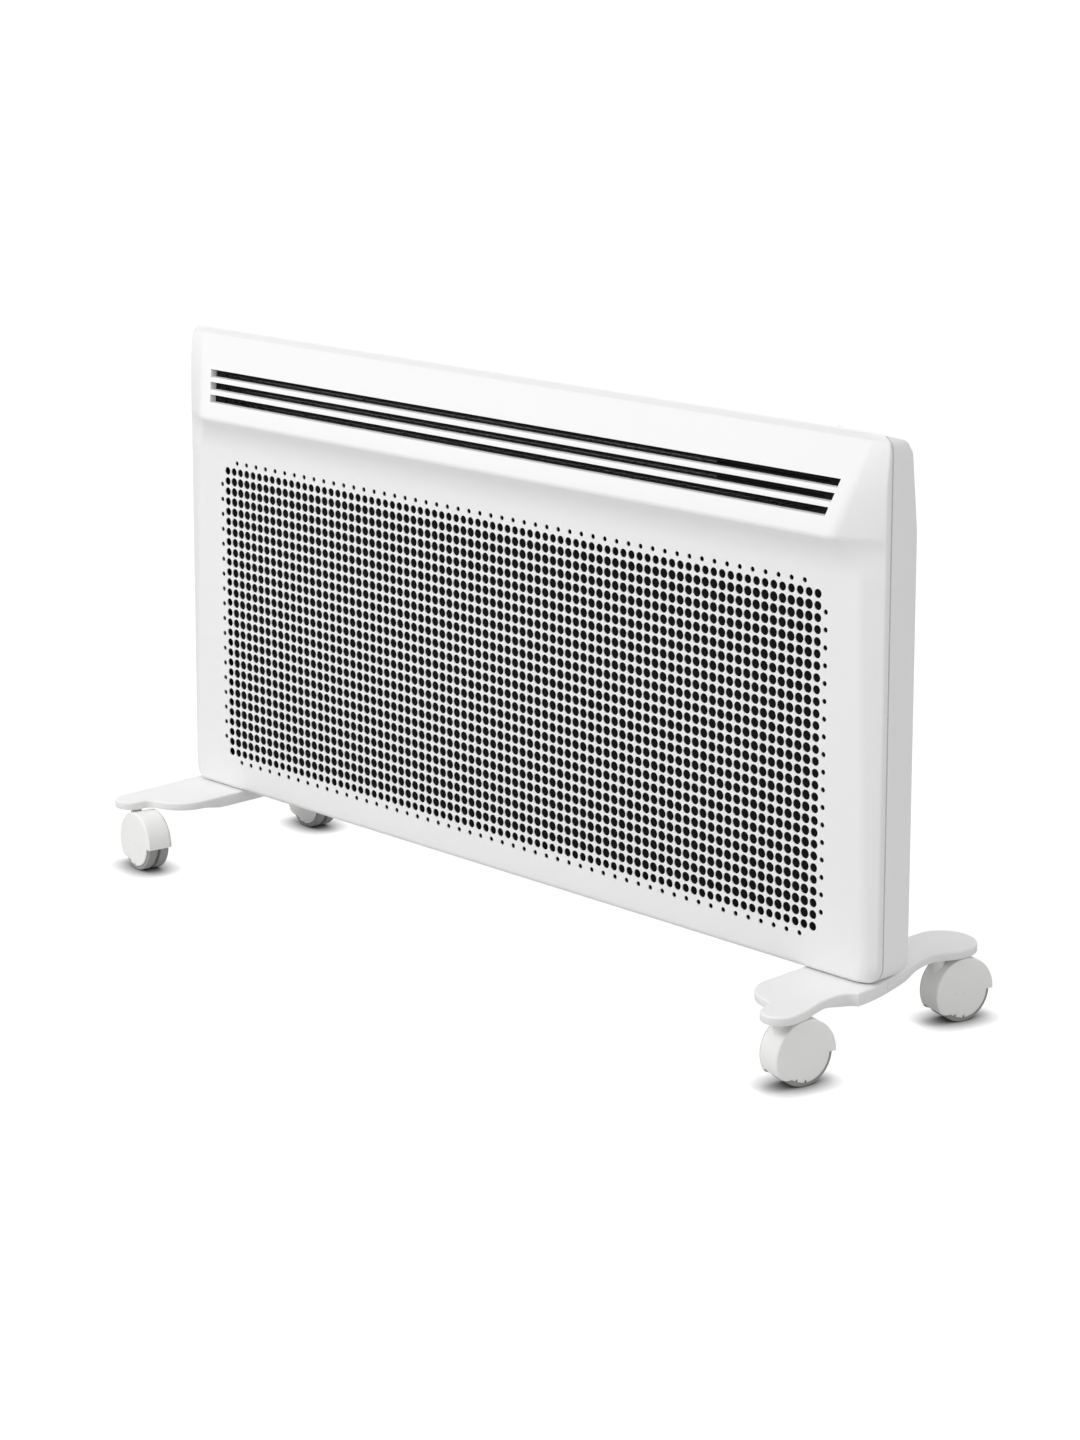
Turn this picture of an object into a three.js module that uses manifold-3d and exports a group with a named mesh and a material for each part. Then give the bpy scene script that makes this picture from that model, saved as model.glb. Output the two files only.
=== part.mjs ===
// A slim panel convector heater on two curved feet with four hooded twin-wheel castors.
// Millimetres. +X is the heater's right as seen from the front, -Y is the front, +Z is up.
// The origin lies on the floor, in the middle of the feet.
import * as THREE from 'three';
import Module from 'manifold-3d';
import { mergeVertices } from 'three/addons/utils/BufferGeometryUtils.js';

const wasm = await Module();
wasm.setup();

// ---- Driving dimensions ------------------------------------------------------------------

const seatGap = 0.3; // between pieces that rest on or in each other

// body
const bodyWidth = 814;
const bodyHeight = 421.5;
const footTop = 60.5; // height of the feet's top face above the floor
const bodyBottom = footTop + seatGap;
const panelY = -26.5; // the outer face of the perforated field
const coverDepth = 11.2; // from the perforated field back to the seam
const housingDepth = 33.5; // from the seam to the flat back
const coverWall = 1.6;
const housingWall = 2;
const cornerRadius = 13; // of the body's outline, seen from the front
const coverSideFlat = 4; // straight depth of the cover's side next to the seam
const coverBottomRound = 8;
const seamY = panelY + coverDepth;
const housingFrontY = seamY + seatGap;
const backY = seamY + housingDepth;
const bodyTop = bodyBottom + bodyHeight;

// header: a face tilted back from its lip
const lipDrop = 79.5; // from the body's top down to the lip
const lipProud = 13.2; // in front of the perforated field
const ledgeHeight = 29; // of the hollow sweep under the lip
const headerTilt = 16.7; // degrees from upright
const headerInsetAtLip = 38; // from the body's side in to the header's slanted edge
const headerInsetAtTop = 15;
const bevelHigh = 20; // from the body's side in to the flat face, under the ledge
const bevelLow = 5; // and near the bottom, where the side bevel runs out
const coverTopRound = 2.2;
const lipHeight = bodyHeight - lipDrop;
const headerHalfWidthAtLip = bodyWidth / 2 - headerInsetAtLip;
const headerHalfWidthAtTop = bodyWidth / 2 - headerInsetAtTop;

// louvre slots
const slotCount = 3;
const slotHeight = 6.8;
const slotPitch = 10.7;
const slotsDrop = 50.5; // from the body's top down to the middle slot
const slotEndMargin = 13.3; // from the header's slanted edge to the slot's end
const louvreDepth = 6.5; // depth of the blades between the slots
const louvreBorder = 5; // thick border round the slots, inside the header
const slotsMiddle = bodyHeight - slotsDrop;

// perforation: cells of the hole field
const fieldSideMargin = 55.5; // from the body's side to the field
const fieldTopMargin = 13.5; // under the ledge
const fieldBottomMargin = 30.5;
const holeColumns = 24;
const holeRows = 9;
const holeOpenShare = 0.8; // hole diameter over the smaller pitch
const holeSides = 6;
const fieldWidth = bodyWidth - 2 * fieldSideMargin;
const fieldHeight = lipHeight - ledgeHeight - fieldTopMargin - fieldBottomMargin;
const fieldMiddle = fieldBottomMargin + fieldHeight / 2;

// rear housing
const topSlope = 14; // degrees that the housing's top falls backwards
const topSlopeDepth = 17;
const housingTopDrop = 1.8; // below the cover's top, at the seam
const shoulderDrop = 101.5; // from the body's top to where the back starts to lean in
const shoulderLean = 6.5;
const brow = 9; // height of the rounded edge behind the sloping top
const rearCornerRound = 4;
const inletCount = 12; // in each row
const inletBridge = 10; // between two inlets of a row
const inletEndMargin = 83; // from the body's side to the rows' ends
const inletWidth = 3.8;
const inletRowPitch = 9;
const hookSlotInset = 187; // from the body's side to a hook slot's middle
const hookSlotLength = 28;
const hookSlotHeight = 3.6;
const hookSlotLow = 90; // above the body's bottom
const hookSlotDrop = 131.5; // of the upper ones, from the body's top
const shoulderHeight = bodyHeight - shoulderDrop;
const inletPitch = (bodyWidth - 2 * inletEndMargin) / inletCount;
const inletLength = inletPitch - inletBridge;

// inside
const sheet = 1.2;
const panelSetback = 5.5; // radiant panel's face behind the perforated field
const radiantBorder = 7; // of the radiant panel, round the perforated field
const shieldBorder = 4; // of the shield, round the radiant panel
const shieldSetback = 31;
const shieldBossRadius = 6;
const shieldBossInsetX = 62.5; // from the shield's edges
const shieldBossInsetZ = 20.5;
const elementInset = 58.5; // from the radiant panel's side to the element's end
const elementRise = 70; // element's axis above the body's bottom
const elementSetback = 19.5; // element's axis behind the perforated field
const elementCoreRadius = 5;
const elementFinReach = 27;
const elementFinThickness = 1.6;
const elementFinHalfDepth = 8;
const elementFinCount = 7;
const elementPinRadius = 4;
const elementPinLength = 22;
const bracketHeight = 70;
const bracketFlange = 14;
const bracketInset = 8; // bracket plate's distance from the element's end
const radiantWidth = fieldWidth + 2 * radiantBorder;
const radiantHeight = fieldHeight + 2 * radiantBorder;
const shieldWidth = radiantWidth + 2 * shieldBorder;
const shieldHeight = radiantHeight + 2 * shieldBorder;
const elementLength = radiantWidth - 2 * elementInset;

// electrics
const cutoutRadius = 8;
const cutoutHeight = 5;
const cutoutAboveElement = 48;
const sideBayInset = 23; // middle of the bay between the shield and the housing's side
const terminalSize = { x: 22, y: 12, z: 34 };
const terminalRise = 82;
const terminalWellRadius = 2.8;
const terminalWellDepth = 6;
const tiltSwitchSize = { x: 22, y: 13, z: 24 };
const tiltSwitchRise = 60;
const tiltSwitchCanRadius = 7.5;
const glandRadius = 7;
const glandFlangeRadius = 10.5;
const glandFlange = 2.4;
const glandTail = 9;
const glandBore = 3.6;
const glandRise = 40;
const cutoutRise = elementRise + cutoutAboveElement;
const sideBayX = bodyWidth / 2 - sideBayInset;

// controls on the housing's top
const controlInset = 107; // from the body's right side to the control strip's middle
const controlLength = 138;
const controlWidth = 11;
const controlRim = 1.5;
const controlRimThickness = 0.8;
const controlThickness = 3.2;
const controlBoxDepth = 17;
const controlBoxDrop = 52;
const buttonCount = 4;
const buttonLength = 11;
const buttonWidth = 7;
const buttonPitch = 16;
const buttonFirstX = -10; // first button's middle from the strip's middle
const buttonProud = 1.9;
const buttonFlange = 1;
const buttonFlangeThickness = 1;
const buttonTravel = 1;
const displayLength = 32;
const displayWidth = 7.4;
const displayX = -42;
const rockerLength = 13;
const rockerWidth = 7.6;
const rockerX = 56;
const rockerThrow = 14; // degrees, from off to on
const rockerClearance = 0.9;
const rockerHeight = 2.6;
const controlX = bodyWidth / 2 - controlInset;

// feet
const footHalfLength = 128; // the origin is midway along the feet
const footPlate = 2.6;
const footWall = 3;
const padRim = 7; // height of the rim round the pads
const footSkirt = 10.5; // height of the walls under the body
const rimLength = 36; // from a stem to where the wall starts to deepen
const rimRamp = 26;
const frontPadInset = 19; // from the body's side in to the pad's middle
const frontPadRadius = 22;
const rearPadInset = 34;
const rearPadRadius = 26;
const footInnerInset = 71; // from the body's side in to the foot's inner edge
const footOuterInset = 2;
const footNeck = 50; // from the front pad's middle back to the outer hollow
const footNeckInset = 9; // depth of that hollow
const footSwell = 68; // from the front pad's middle back to the widest place
const footHip = 38; // from the rear pad's middle forward to the rear hollow
const footHipInset = 17;
const footInnerFront = 49; // from the pads' middles to the inner edge's ends
const footInnerRear = 60;
const frontStemInset = 21;
const frontStemAhead = 1.5; // of the pad's middle
const rearStemInset = 26;
const rearStemAhead = 15.5;
const screwInset = 45;
const screwRadius = 2.4;
const screwHeadRadius = 4.4;
const screwHead = 2.4;
const screwLength = 12;
const screwFrontY = -7;
const screwRearY = 7;
const frontPadX = bodyWidth / 2 - frontPadInset;
const frontPadY = -footHalfLength + frontPadRadius;
const rearPadX = bodyWidth / 2 - rearPadInset;
const rearPadY = footHalfLength - rearPadRadius;
const footInnerX = bodyWidth / 2 - footInnerInset;
const footOuterX = bodyWidth / 2 - footOuterInset;
const frontStemX = bodyWidth / 2 - frontStemInset;
const frontStemY = frontPadY - frontStemAhead;
const rearStemX = bodyWidth / 2 - rearStemInset;
const rearStemY = rearPadY - rearStemAhead;
const screwX = bodyWidth / 2 - screwInset;

// castors
const wheelRadius = 25;
const wheelSides = 20;
const wheelTread = 12.3;
const treadGap = 5.8;
const wheelRim = 4.2; // radial thickness of the tread ring
const wheelDish = 3.4; // how far the inner side is dished
const trail = 17;
const hoodWall = 1.4;
const wheelClearance = 0.9;
const hubPlateRadius = 20.2;
const hubPlateHalfWidth = 5.7;
const webHalfWidth = 2.6;
const hoodFrontAngle = 210; // degrees; 0 is the trailing side, 90 the top
const hoodRearAngle = -2;
const bossRadius = 6;
const bossTop = 53; // height above the floor
const stemRadius = 2.5;
const stemBottom = 27;
const stemTop = footTop - 1.5;
const socketRadius = 7;
const axleRadius = 2.3;
const coverThickness = 1.6;
const coverLowRadius = 22.4;
const coverNotch = 1.6;
const swivelFrontRight = -13; // degrees about each stem
const swivelRearRight = -15; // degrees
const swivelFrontLeft = -99; // degrees
const swivelRearLeft = -97; // degrees

// ---- Colours -----------------------------------------------------------------------------

const paint = { color: 0xf1f1ef, roughness: 0.42, metalness: 0 };
const housingPaint = { color: 0xeeeeec, roughness: 0.45, metalness: 0 };
const moulding = { color: 0xe9e9e8, roughness: 0.4, metalness: 0 };
const hoodPlastic = { color: 0xdcdcda, roughness: 0.4, metalness: 0 };
const greyTyre = { color: 0x9b9b9b, roughness: 0.6, metalness: 0 };
const blackEnamel = { color: 0x141414, roughness: 0.6, metalness: 0.1 };
const aluminium = { color: 0xb9bcc0, roughness: 0.4, metalness: 0.9 };
const steel = { color: 0xa9abae, roughness: 0.35, metalness: 0.9 };
const blackPlastic = { color: 0x222222, roughness: 0.5, metalness: 0 };
const ceramic = { color: 0xe4dfd2, roughness: 0.7, metalness: 0 };

// ---- Making and joining solids -----------------------------------------------------------

const degrees = Math.PI / 180;
const bodyX = new THREE.Vector3(1, 0, 0);
const bodyY = new THREE.Vector3(0, 1, 0);
const bodyZ = new THREE.Vector3(0, 0, 1);

function solidOf(geometry) {
  const bare = new THREE.BufferGeometry();
  bare.setAttribute('position', geometry.getAttribute('position'));
  if (geometry.index) bare.setIndex(geometry.index);
  const merged = mergeVertices(bare, 1e-4);
  const vertProperties = new Float32Array(merged.getAttribute('position').array);
  const triVerts = new Uint32Array(merged.index.array);
  return new wasm.Manifold(new wasm.Mesh({ numProp: 3, vertProperties, triVerts }));
}

function geometryOf(solid) {
  const { vertProperties, triVerts } = solid.getMesh();
  const geometry = new THREE.BufferGeometry();
  geometry.setAttribute('position', new THREE.BufferAttribute(vertProperties, 3));
  geometry.setIndex(new THREE.BufferAttribute(triVerts, 1));
  geometry.computeVertexNormals();
  return geometry;
}

function union(first, ...rest) {
  return rest.reduce((sum, next) => sum.add(next), first);
}

function cut(solid, ...tools) {
  return tools.reduce((left, tool) => left.subtract(tool), solid);
}

// A box between two corners.
function box(low, high) {
  const size = high.map((value, i) => value - low[i]);
  const geometry = new THREE.BoxGeometry(...size);
  geometry.translate(...low.map((value, i) => value + size[i] / 2));
  return solidOf(geometry);
}

function extruded(shape, depth, curveSegments = 3) {
  return new THREE.ExtrudeGeometry(shape, { depth, bevelEnabled: false, curveSegments });
}

// A shape drawn in (y, z), run along X from x0 to x1.
function alongX(shape, x0, x1, curveSegments) {
  const geometry = extruded(shape, x1 - x0, curveSegments);
  geometry.applyMatrix4(new THREE.Matrix4().makeBasis(bodyY, bodyZ, bodyX).setPosition(x0, 0, 0));
  return solidOf(geometry);
}

// A shape drawn in (x, z), run along Y from y0 to y1.
function alongY(shape, y0, y1, curveSegments) {
  const geometry = extruded(shape, y1 - y0, curveSegments);
  const towardsFront = bodyY.clone().negate();
  geometry.applyMatrix4(
    new THREE.Matrix4().makeBasis(bodyX, bodyZ, towardsFront).setPosition(0, y1, 0));
  return solidOf(geometry);
}

// A shape drawn in (x, y), run up Z from z0 to z1.
function alongZ(shape, z0, z1, curveSegments) {
  const geometry = extruded(shape, z1 - z0, curveSegments);
  geometry.translate(0, 0, z0);
  return solidOf(geometry);
}

function shapeOf(points) {
  return new THREE.Shape(points.map(([a, b]) => new THREE.Vector2(a, b)));
}

// A round with a number of flats, one of them facing along each axis.
function round(x, y, radius, sides) {
  return shapeOf(Array.from({ length: sides }, (_, i) => {
    const angle = ((i + 0.5) / sides) * 2 * Math.PI;
    return [x + radius * Math.cos(angle), y + radius * Math.sin(angle)];
  }));
}

// A round whose flats, not its corners, keep to the radius: a bore that clears a shaft.
function bore(x, y, radius, sides) {
  return round(x, y, radius / Math.cos(Math.PI / sides), sides);
}

// A profile of [radius, height] pairs, turned about Z. It starts and ends on the axis, or closes.
function turned(profile, sides) {
  const points = profile.map(([radius, height]) => new THREE.Vector2(radius, height));
  const geometry = new THREE.LatheGeometry(points, sides);
  geometry.rotateX(Math.PI / 2);
  return solidOf(geometry);
}

// Horizontal outlines, listed from the bottom up, each a ring of [x, y, z] going anticlockwise.
function stacked(rings) {
  const count = rings[0].length;
  const positions = rings.flat(2);
  const index = [];
  for (let k = 0; k + 1 < rings.length; k++) {
    for (let i = 0; i < count; i++) {
      const a = k * count + i;
      const b = k * count + ((i + 1) % count);
      index.push(a, b, b + count, a, b + count, a + count);
    }
  }
  const top = (rings.length - 1) * count;
  for (let i = 1; i + 1 < count; i++) {
    index.push(0, i + 1, i);
    index.push(top, top + i, top + i + 1);
  }
  const geometry = new THREE.BufferGeometry();
  geometry.setAttribute('position', new THREE.Float32BufferAttribute(positions, 3));
  geometry.setIndex(index);
  return solidOf(geometry);
}

function moved(solid, matrix) {
  return solidOf(geometryOf(solid).applyMatrix4(matrix));
}

const heater = new THREE.Group();

function addPiece(name, solid, finish, parent = heater) {
  const mesh = new THREE.Mesh(geometryOf(solid), new THREE.MeshStandardMaterial(finish));
  mesh.name = name;
  parent.add(mesh);
  return mesh;
}

// ---- The body's form ---------------------------------------------------------------------

// How much a rounded corner of the given radius takes off at a distance from the edge.
function roundLoss(distance, radius) {
  if (distance >= radius) return 0;
  const reach = radius - distance;
  return radius - Math.sqrt(radius * radius - reach * reach);
}

function halfWidthAt(height, inset) {
  const fromEnd = Math.min(height - inset, bodyHeight - inset - height);
  const radius = cornerRadius - inset;
  return bodyWidth / 2 - inset - roundLoss(Math.max(fromEnd, 0), radius);
}

// The cover's front face, as a distance behind the perforated field.
function faceSetback(height) {
  if (height >= lipHeight) {
    return -lipProud + (height - lipHeight) * Math.tan(headerTilt * degrees);
  }
  const intoLedge = (height - (lipHeight - ledgeHeight)) / ledgeHeight;
  if (intoLedge > 0) return -lipProud * intoLedge * intoLedge;
  return roundLoss(height, coverBottomRound);
}

function faceHalfWidth(height) {
  if (height >= lipHeight) {
    const up = (height - lipHeight) / (bodyHeight - lipHeight);
    return THREE.MathUtils.lerp(headerHalfWidthAtLip, headerHalfWidthAtTop, up);
  }
  const ledgeFoot = lipHeight - ledgeHeight;
  if (height > ledgeFoot) {
    const up = (height - ledgeFoot) / ledgeHeight;
    return THREE.MathUtils.lerp(bodyWidth / 2 - bevelHigh, headerHalfWidthAtLip, up);
  }
  return bodyWidth / 2 - THREE.MathUtils.lerp(bevelLow, bevelHigh, height / ledgeFoot);
}

// One horizontal outline of the cover, inset from its skin, and run back to backEdge.
function coverRing(height, inset, backEdge) {
  const half = halfWidthAt(height, inset);
  const sideLoss = bodyWidth / 2 - inset - half;
  const sideY = seamY - coverSideFlat + inset / 2;
  const setback = Math.min(faceSetback(height) + inset, coverDepth - coverTopRound + inset);
  const frontY = Math.min(panelY + setback, sideY - coverTopRound / 2 + inset / 2);
  const faceHalf = faceHalfWidth(height) - inset / 2 - sideLoss;
  const z = bodyBottom + height;
  return [
    [-faceHalf, frontY, z],
    [faceHalf, frontY, z],
    [half - coverTopRound, sideY - coverTopRound / 2, z],
    [half, sideY + coverTopRound, z],
    [half, backEdge, z],
    [-half, backEdge, z],
    [-half, sideY + coverTopRound, z],
    [-half + coverTopRound, sideY - coverTopRound / 2, z],
  ];
}

const cornerSteps = [0, 0.08, 0.3, 0.62, 1];

function coverHeights(inset) {
  const radius = cornerRadius - inset;
  const low = cornerSteps.map((step) => inset + step * radius);
  const ledge = [0, 0.35, 0.7, 1].map((step) => lipHeight - ledgeHeight * (1 - step));
  const high = cornerSteps.map((step) => bodyHeight - inset - step * radius).reverse();
  return [...low, ...ledge, ...high];
}

function coverForm(inset, backEdge) {
  return stacked(coverHeights(inset).map((height) => coverRing(height, inset, backEdge)));
}

// ---- Front cover -------------------------------------------------------------------------

function slotMiddle(index) {
  return slotsMiddle + ((slotCount - 1) / 2 - index) * slotPitch;
}

// A band across the header, with ends that follow the header's slanted edges.
function headerBand(lowHeight, highHeight, endMargin, y0, y1) {
  const low = faceHalfWidth(lowHeight) - endMargin;
  const high = faceHalfWidth(highHeight) - endMargin;
  const z0 = bodyBottom + lowHeight;
  const z1 = bodyBottom + highHeight;
  return alongY(shapeOf([[-low, z0], [low, z0], [high, z1], [-high, z1]]), y0, y1);
}

function slotTool(index) {
  const middle = slotMiddle(index);
  return headerBand(middle - slotHeight / 2, middle + slotHeight / 2, slotEndMargin,
    panelY - 2 * lipProud, seamY + louvreDepth);
}

const slotsLow = slotMiddle(slotCount - 1) - slotHeight / 2;
const slotsHigh = slotMiddle(0) + slotHeight / 2;

// The blades' back face follows the header's face at the louvre depth.
function louvreBlock() {
  const low = slotsLow - louvreBorder;
  const high = slotsHigh + louvreBorder;
  const back = (height) => panelY + faceSetback(height) + louvreDepth;
  const profile = shapeOf([
    [panelY - 2 * lipProud, bodyBottom + low],
    [back(low), bodyBottom + low],
    [back(high), bodyBottom + high],
    [panelY - 2 * lipProud, bodyBottom + high],
  ]);
  const half = headerHalfWidthAtLip - louvreBorder;
  return alongX(profile, -half, half);
}

// All holes of the field as one tool, because they don't touch each other.
function perforation() {
  const pitchX = fieldWidth / holeColumns;
  const pitchZ = fieldHeight / holeRows;
  const radius = (Math.min(pitchX, pitchZ) * holeOpenShare) / 2;
  const tools = [];
  for (let column = 0; column < holeColumns; column++) {
    for (let row = 0; row < holeRows; row++) {
      const x = (column - (holeColumns - 1) / 2) * pitchX;
      const height = fieldMiddle + (row - (holeRows - 1) / 2) * pitchZ;
      const hole = round(x, bodyBottom + height, radius, holeSides);
      tools.push(alongY(hole, panelY - coverWall, panelY + 2 * coverWall));
    }
  }
  return wasm.Manifold.compose(tools);
}

function frontCover() {
  const cavity = coverForm(coverWall, seamY + louvreDepth).subtract(louvreBlock());
  const slots = Array.from({ length: slotCount }, (_, index) => slotTool(index));
  return cut(coverForm(0, seamY), cavity, ...slots, perforation());
}

// The black insert behind the slots, with its fine blades.
function louvreInsert() {
  const low = slotsLow - louvreBorder;
  const high = slotsHigh + louvreBorder;
  const front = (height) => panelY + faceSetback(height) + louvreDepth + seatGap;
  const profile = shapeOf([
    [front(low), bodyBottom + low],
    [front(low) + housingWall, bodyBottom + low],
    [front(high) + housingWall, bodyBottom + high],
    [front(high), bodyBottom + high],
  ]);
  const half = headerHalfWidthAtLip - louvreBorder;
  const openings = [];
  for (let index = 0; index < slotCount; index++) {
    for (const side of [-1, 1]) {
      const middle = slotMiddle(index) + (side * slotHeight) / 4;
      openings.push(headerBand(middle - slotHeight / 8, middle + slotHeight / 8,
        2 * slotEndMargin, panelY - lipProud, seamY + 2 * louvreDepth));
    }
  }
  return cut(alongX(profile, -half, half), ...openings);
}

// ---- Rear housing ------------------------------------------------------------------------

const housingTop = bodyHeight - housingTopDrop;
const slopeEnd = housingTop - topSlopeDepth * Math.tan(topSlope * degrees);
// The housing's back, as a distance behind the seam, at a height above the body's bottom.
function backReach(height) {
  if (height <= shoulderHeight) return housingDepth;
  const browFoot = slopeEnd - brow;
  const browDepth = housingDepth - shoulderLean;
  if (height <= browFoot) {
    const up = (height - shoulderHeight) / (browFoot - shoulderHeight);
    return THREE.MathUtils.lerp(housingDepth, browDepth, up);
  }
  const rise = Math.min((height - browFoot) / brow, 1);
  const round = 1 - Math.sqrt(1 - rise * rise);
  return THREE.MathUtils.lerp(browDepth, topSlopeDepth, round);
}

function housingRing(height, inset, front) {
  const half = halfWidthAt(height, inset);
  const back = seamY + backReach(height) - inset;
  const round = rearCornerRound;
  const z = bodyBottom + height;
  return [
    [-half, front, z],
    [half, front, z],
    [half, back - round, z],
    [half - round * 0.3, back - round * 0.3, z],
    [half - round, back, z],
    [-half + round, back, z],
    [-half + round * 0.3, back - round * 0.3, z],
    [-half, back - round, z],
  ];
}

function housingForm(inset, front) {
  const radius = cornerRadius - inset;
  const browFoot = slopeEnd - brow;
  const low = cornerSteps.map((step) => inset + step * radius);
  const top = bodyHeight - inset;
  const corner = cornerSteps.map((step) => top - step * radius);
  const browSteps = [0, 0.4, 0.75, 0.95].map((step) => browFoot + step * brow - inset);
  const heights = [...low, shoulderHeight, ...corner, ...browSteps].sort((a, b) => a - b);
  const form = stacked(heights.map((height) => housingRing(height, inset, front)));
  return form.intersect(underTopSlope(inset));
}

// Everything below the sloping top's plane, inset from it.
function underTopSlope(inset) {
  const far = bodyWidth;
  const fall = Math.tan(topSlope * degrees);
  const at = (y) => bodyBottom + housingTop - (y - seamY) * fall - inset / Math.cos(topSlope * degrees);
  const ahead = seamY - coverDepth;
  const behind = backY + coverDepth;
  const profile = shapeOf([[ahead, 0], [behind, 0], [behind, at(behind)], [ahead, at(ahead)]]);
  return alongX(profile, -far, far);
}

function shieldPlaces() {
  const x = shieldWidth / 2 - shieldBossInsetX;
  const rise = shieldHeight / 2 - shieldBossInsetZ;
  const z = bodyBottom + fieldMiddle;
  return [[-x, z - rise], [x, z - rise], [-x, z + rise], [x, z + rise]];
}

// Two rows of slots in the bottom, where cool air comes in.
function inletTools() {
  const tools = [];
  for (const row of [-1, 1]) {
    const y0 = (housingFrontY + backY - inletWidth + row * inletRowPitch) / 2;
    for (let index = 0; index < inletCount; index++) {
      const x0 = (index - (inletCount - 1) / 2) * inletPitch - inletLength / 2;
      tools.push(box([x0, y0, bodyBottom - housingWall],
        [x0 + inletLength, y0 + inletWidth, bodyBottom + 2 * housingWall]));
    }
  }
  return tools;
}

// Four level slots in the back, for the hooks of a wall bracket.
function hookSlotTools() {
  const tools = [];
  for (const side of [-1, 1]) {
    for (const rise of [hookSlotLow, bodyHeight - hookSlotDrop]) {
      const x0 = side * (bodyWidth / 2 - hookSlotInset) - hookSlotLength / 2;
      const z0 = bodyBottom + rise;
      tools.push(box([x0, backY - 2 * housingWall, z0],
        [x0 + hookSlotLength, backY + housingWall, z0 + hookSlotHeight]));
    }
  }
  return tools;
}

const shieldY = panelY + shieldSetback;

function housingBosses() {
  return shieldPlaces().map(([x, z]) =>
    alongY(round(x, z, shieldBossRadius, 8), shieldY + sheet + seatGap, backY - housingWall / 2));
}

function screwPlaces(side) {
  return [[side * screwX, screwFrontY], [side * screwX, screwRearY]];
}

function footBosses() {
  return [...screwPlaces(-1), ...screwPlaces(1)].map(([x, y]) =>
    alongZ(round(x, y, screwHeadRadius, 10), bodyBottom + housingWall / 2, bodyBottom + screwLength));
}

function footScrewBores() {
  return [...screwPlaces(-1), ...screwPlaces(1)].map(([x, y]) =>
    alongZ(bore(x, y, screwRadius + seatGap, 8), footTop - housingWall, bodyBottom + screwLength * 2));
}

function rearHousing() {
  const cavity = housingForm(housingWall, housingFrontY - coverDepth);
  const shell = cut(housingForm(0, housingFrontY), cavity);
  const full = union(shell, ...housingBosses(), ...footBosses());
  const gland = alongY(bore(sideBayX, bodyBottom + glandRise, glandRadius + seatGap, 14),
    backY - 2 * housingWall, backY + housingWall);
  const openings = [...inletTools(), ...hookSlotTools(), ...footScrewBores(), controlOpening()];
  return cut(full, gland, ...openings);
}

// ---- Inside ------------------------------------------------------------------------------

// A shallow tray: its face looks through the holes, and its sides stand on the shield.
function radiantPanel() {
  const y0 = panelY + panelSetback;
  const y1 = shieldY - seatGap;
  const half = radiantWidth / 2;
  const profile = shapeOf([
    [-half, y0], [half, y0], [half, y1], [half - sheet, y1],
    [half - sheet, y0 + sheet], [-half + sheet, y0 + sheet], [-half + sheet, y1], [-half, y1],
  ]);
  const z = bodyBottom + fieldMiddle;
  return alongZ(profile, z - radiantHeight / 2, z + radiantHeight / 2);
}

function heatShield() {
  const z = bodyBottom + fieldMiddle;
  return box([-shieldWidth / 2, shieldY, z - shieldHeight / 2],
    [shieldWidth / 2, shieldY + sheet, z + shieldHeight / 2]);
}

const elementY = panelY + elementSetback;
const elementZ = bodyBottom + elementRise;

// An extruded core with fins across it, and a round pin at each end.
function heatingElement() {
  const half = elementLength / 2;
  const core = box([-half, elementY - elementFinThickness, elementZ - elementFinReach],
    [half, elementY + elementFinThickness, elementZ + elementFinReach]);
  const tube = alongX(round(elementY, elementZ, elementCoreRadius, 10), -half, half);
  const fins = [];
  for (let index = 0; index < elementFinCount; index++) {
    const across = index / (elementFinCount - 1) - 0.5;
    const z = elementZ + across * 2 * (elementFinReach - elementFinThickness / 2);
    fins.push(box([-half, elementY - elementFinHalfDepth, z - elementFinThickness / 2],
      [half, elementY + elementFinHalfDepth, z + elementFinThickness / 2]));
  }
  const pins = alongX(round(elementY, elementZ, elementPinRadius, 8),
    -half - elementPinLength, half + elementPinLength);
  return union(core, tube, ...fins, pins);
}

// An upright plate that the element's pin passes through, with a flange flat on the shield.
function elementBracket(side) {
  const x0 = elementLength / 2 + bracketInset;
  const y0 = elementY - elementFinHalfDepth;
  const y1 = shieldY - seatGap;
  const profile = shapeOf([
    [side * x0, y0], [side * (x0 + sheet), y0], [side * (x0 + sheet), y1 - sheet],
    [side * (x0 + bracketFlange), y1 - sheet], [side * (x0 + bracketFlange), y1], [side * x0, y1],
  ]);
  const plate = alongZ(profile, elementZ - bracketHeight / 2, elementZ + bracketHeight / 2);
  const reach = elementLength;
  const hole = alongX(bore(elementY, elementZ, elementPinRadius + seatGap, 8), -reach, reach);
  return cut(plate, hole);
}

function overheatCutout() {
  const y1 = shieldY - seatGap;
  const z = bodyBottom + cutoutRise;
  const can = alongY(round(0, z, cutoutRadius, 12), y1 - cutoutHeight, y1);
  const ears = box([-cutoutRadius * 1.6, y1 - sheet, z - cutoutRadius / 2],
    [cutoutRadius * 1.6, y1, z + cutoutRadius / 2]);
  return can.add(ears);
}

const housingInnerBack = backY - housingWall - seatGap;

function baySolid(x, rise, size) {
  const z = bodyBottom + rise;
  return box([x - size.x / 2, housingInnerBack - size.y, z - size.z / 2],
    [x + size.x / 2, housingInnerBack, z + size.z / 2]);
}

function terminalBlock() {
  const body = baySolid(sideBayX, terminalRise, terminalSize);
  const front = housingInnerBack - terminalSize.y;
  const wells = [-1, 0, 1].map((way) => {
    const z = bodyBottom + terminalRise + (way * terminalSize.z) / 3;
    return alongY(round(sideBayX, z, terminalWellRadius, 6), front - sheet, front + terminalWellDepth);
  });
  return cut(body, ...wells);
}

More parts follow.
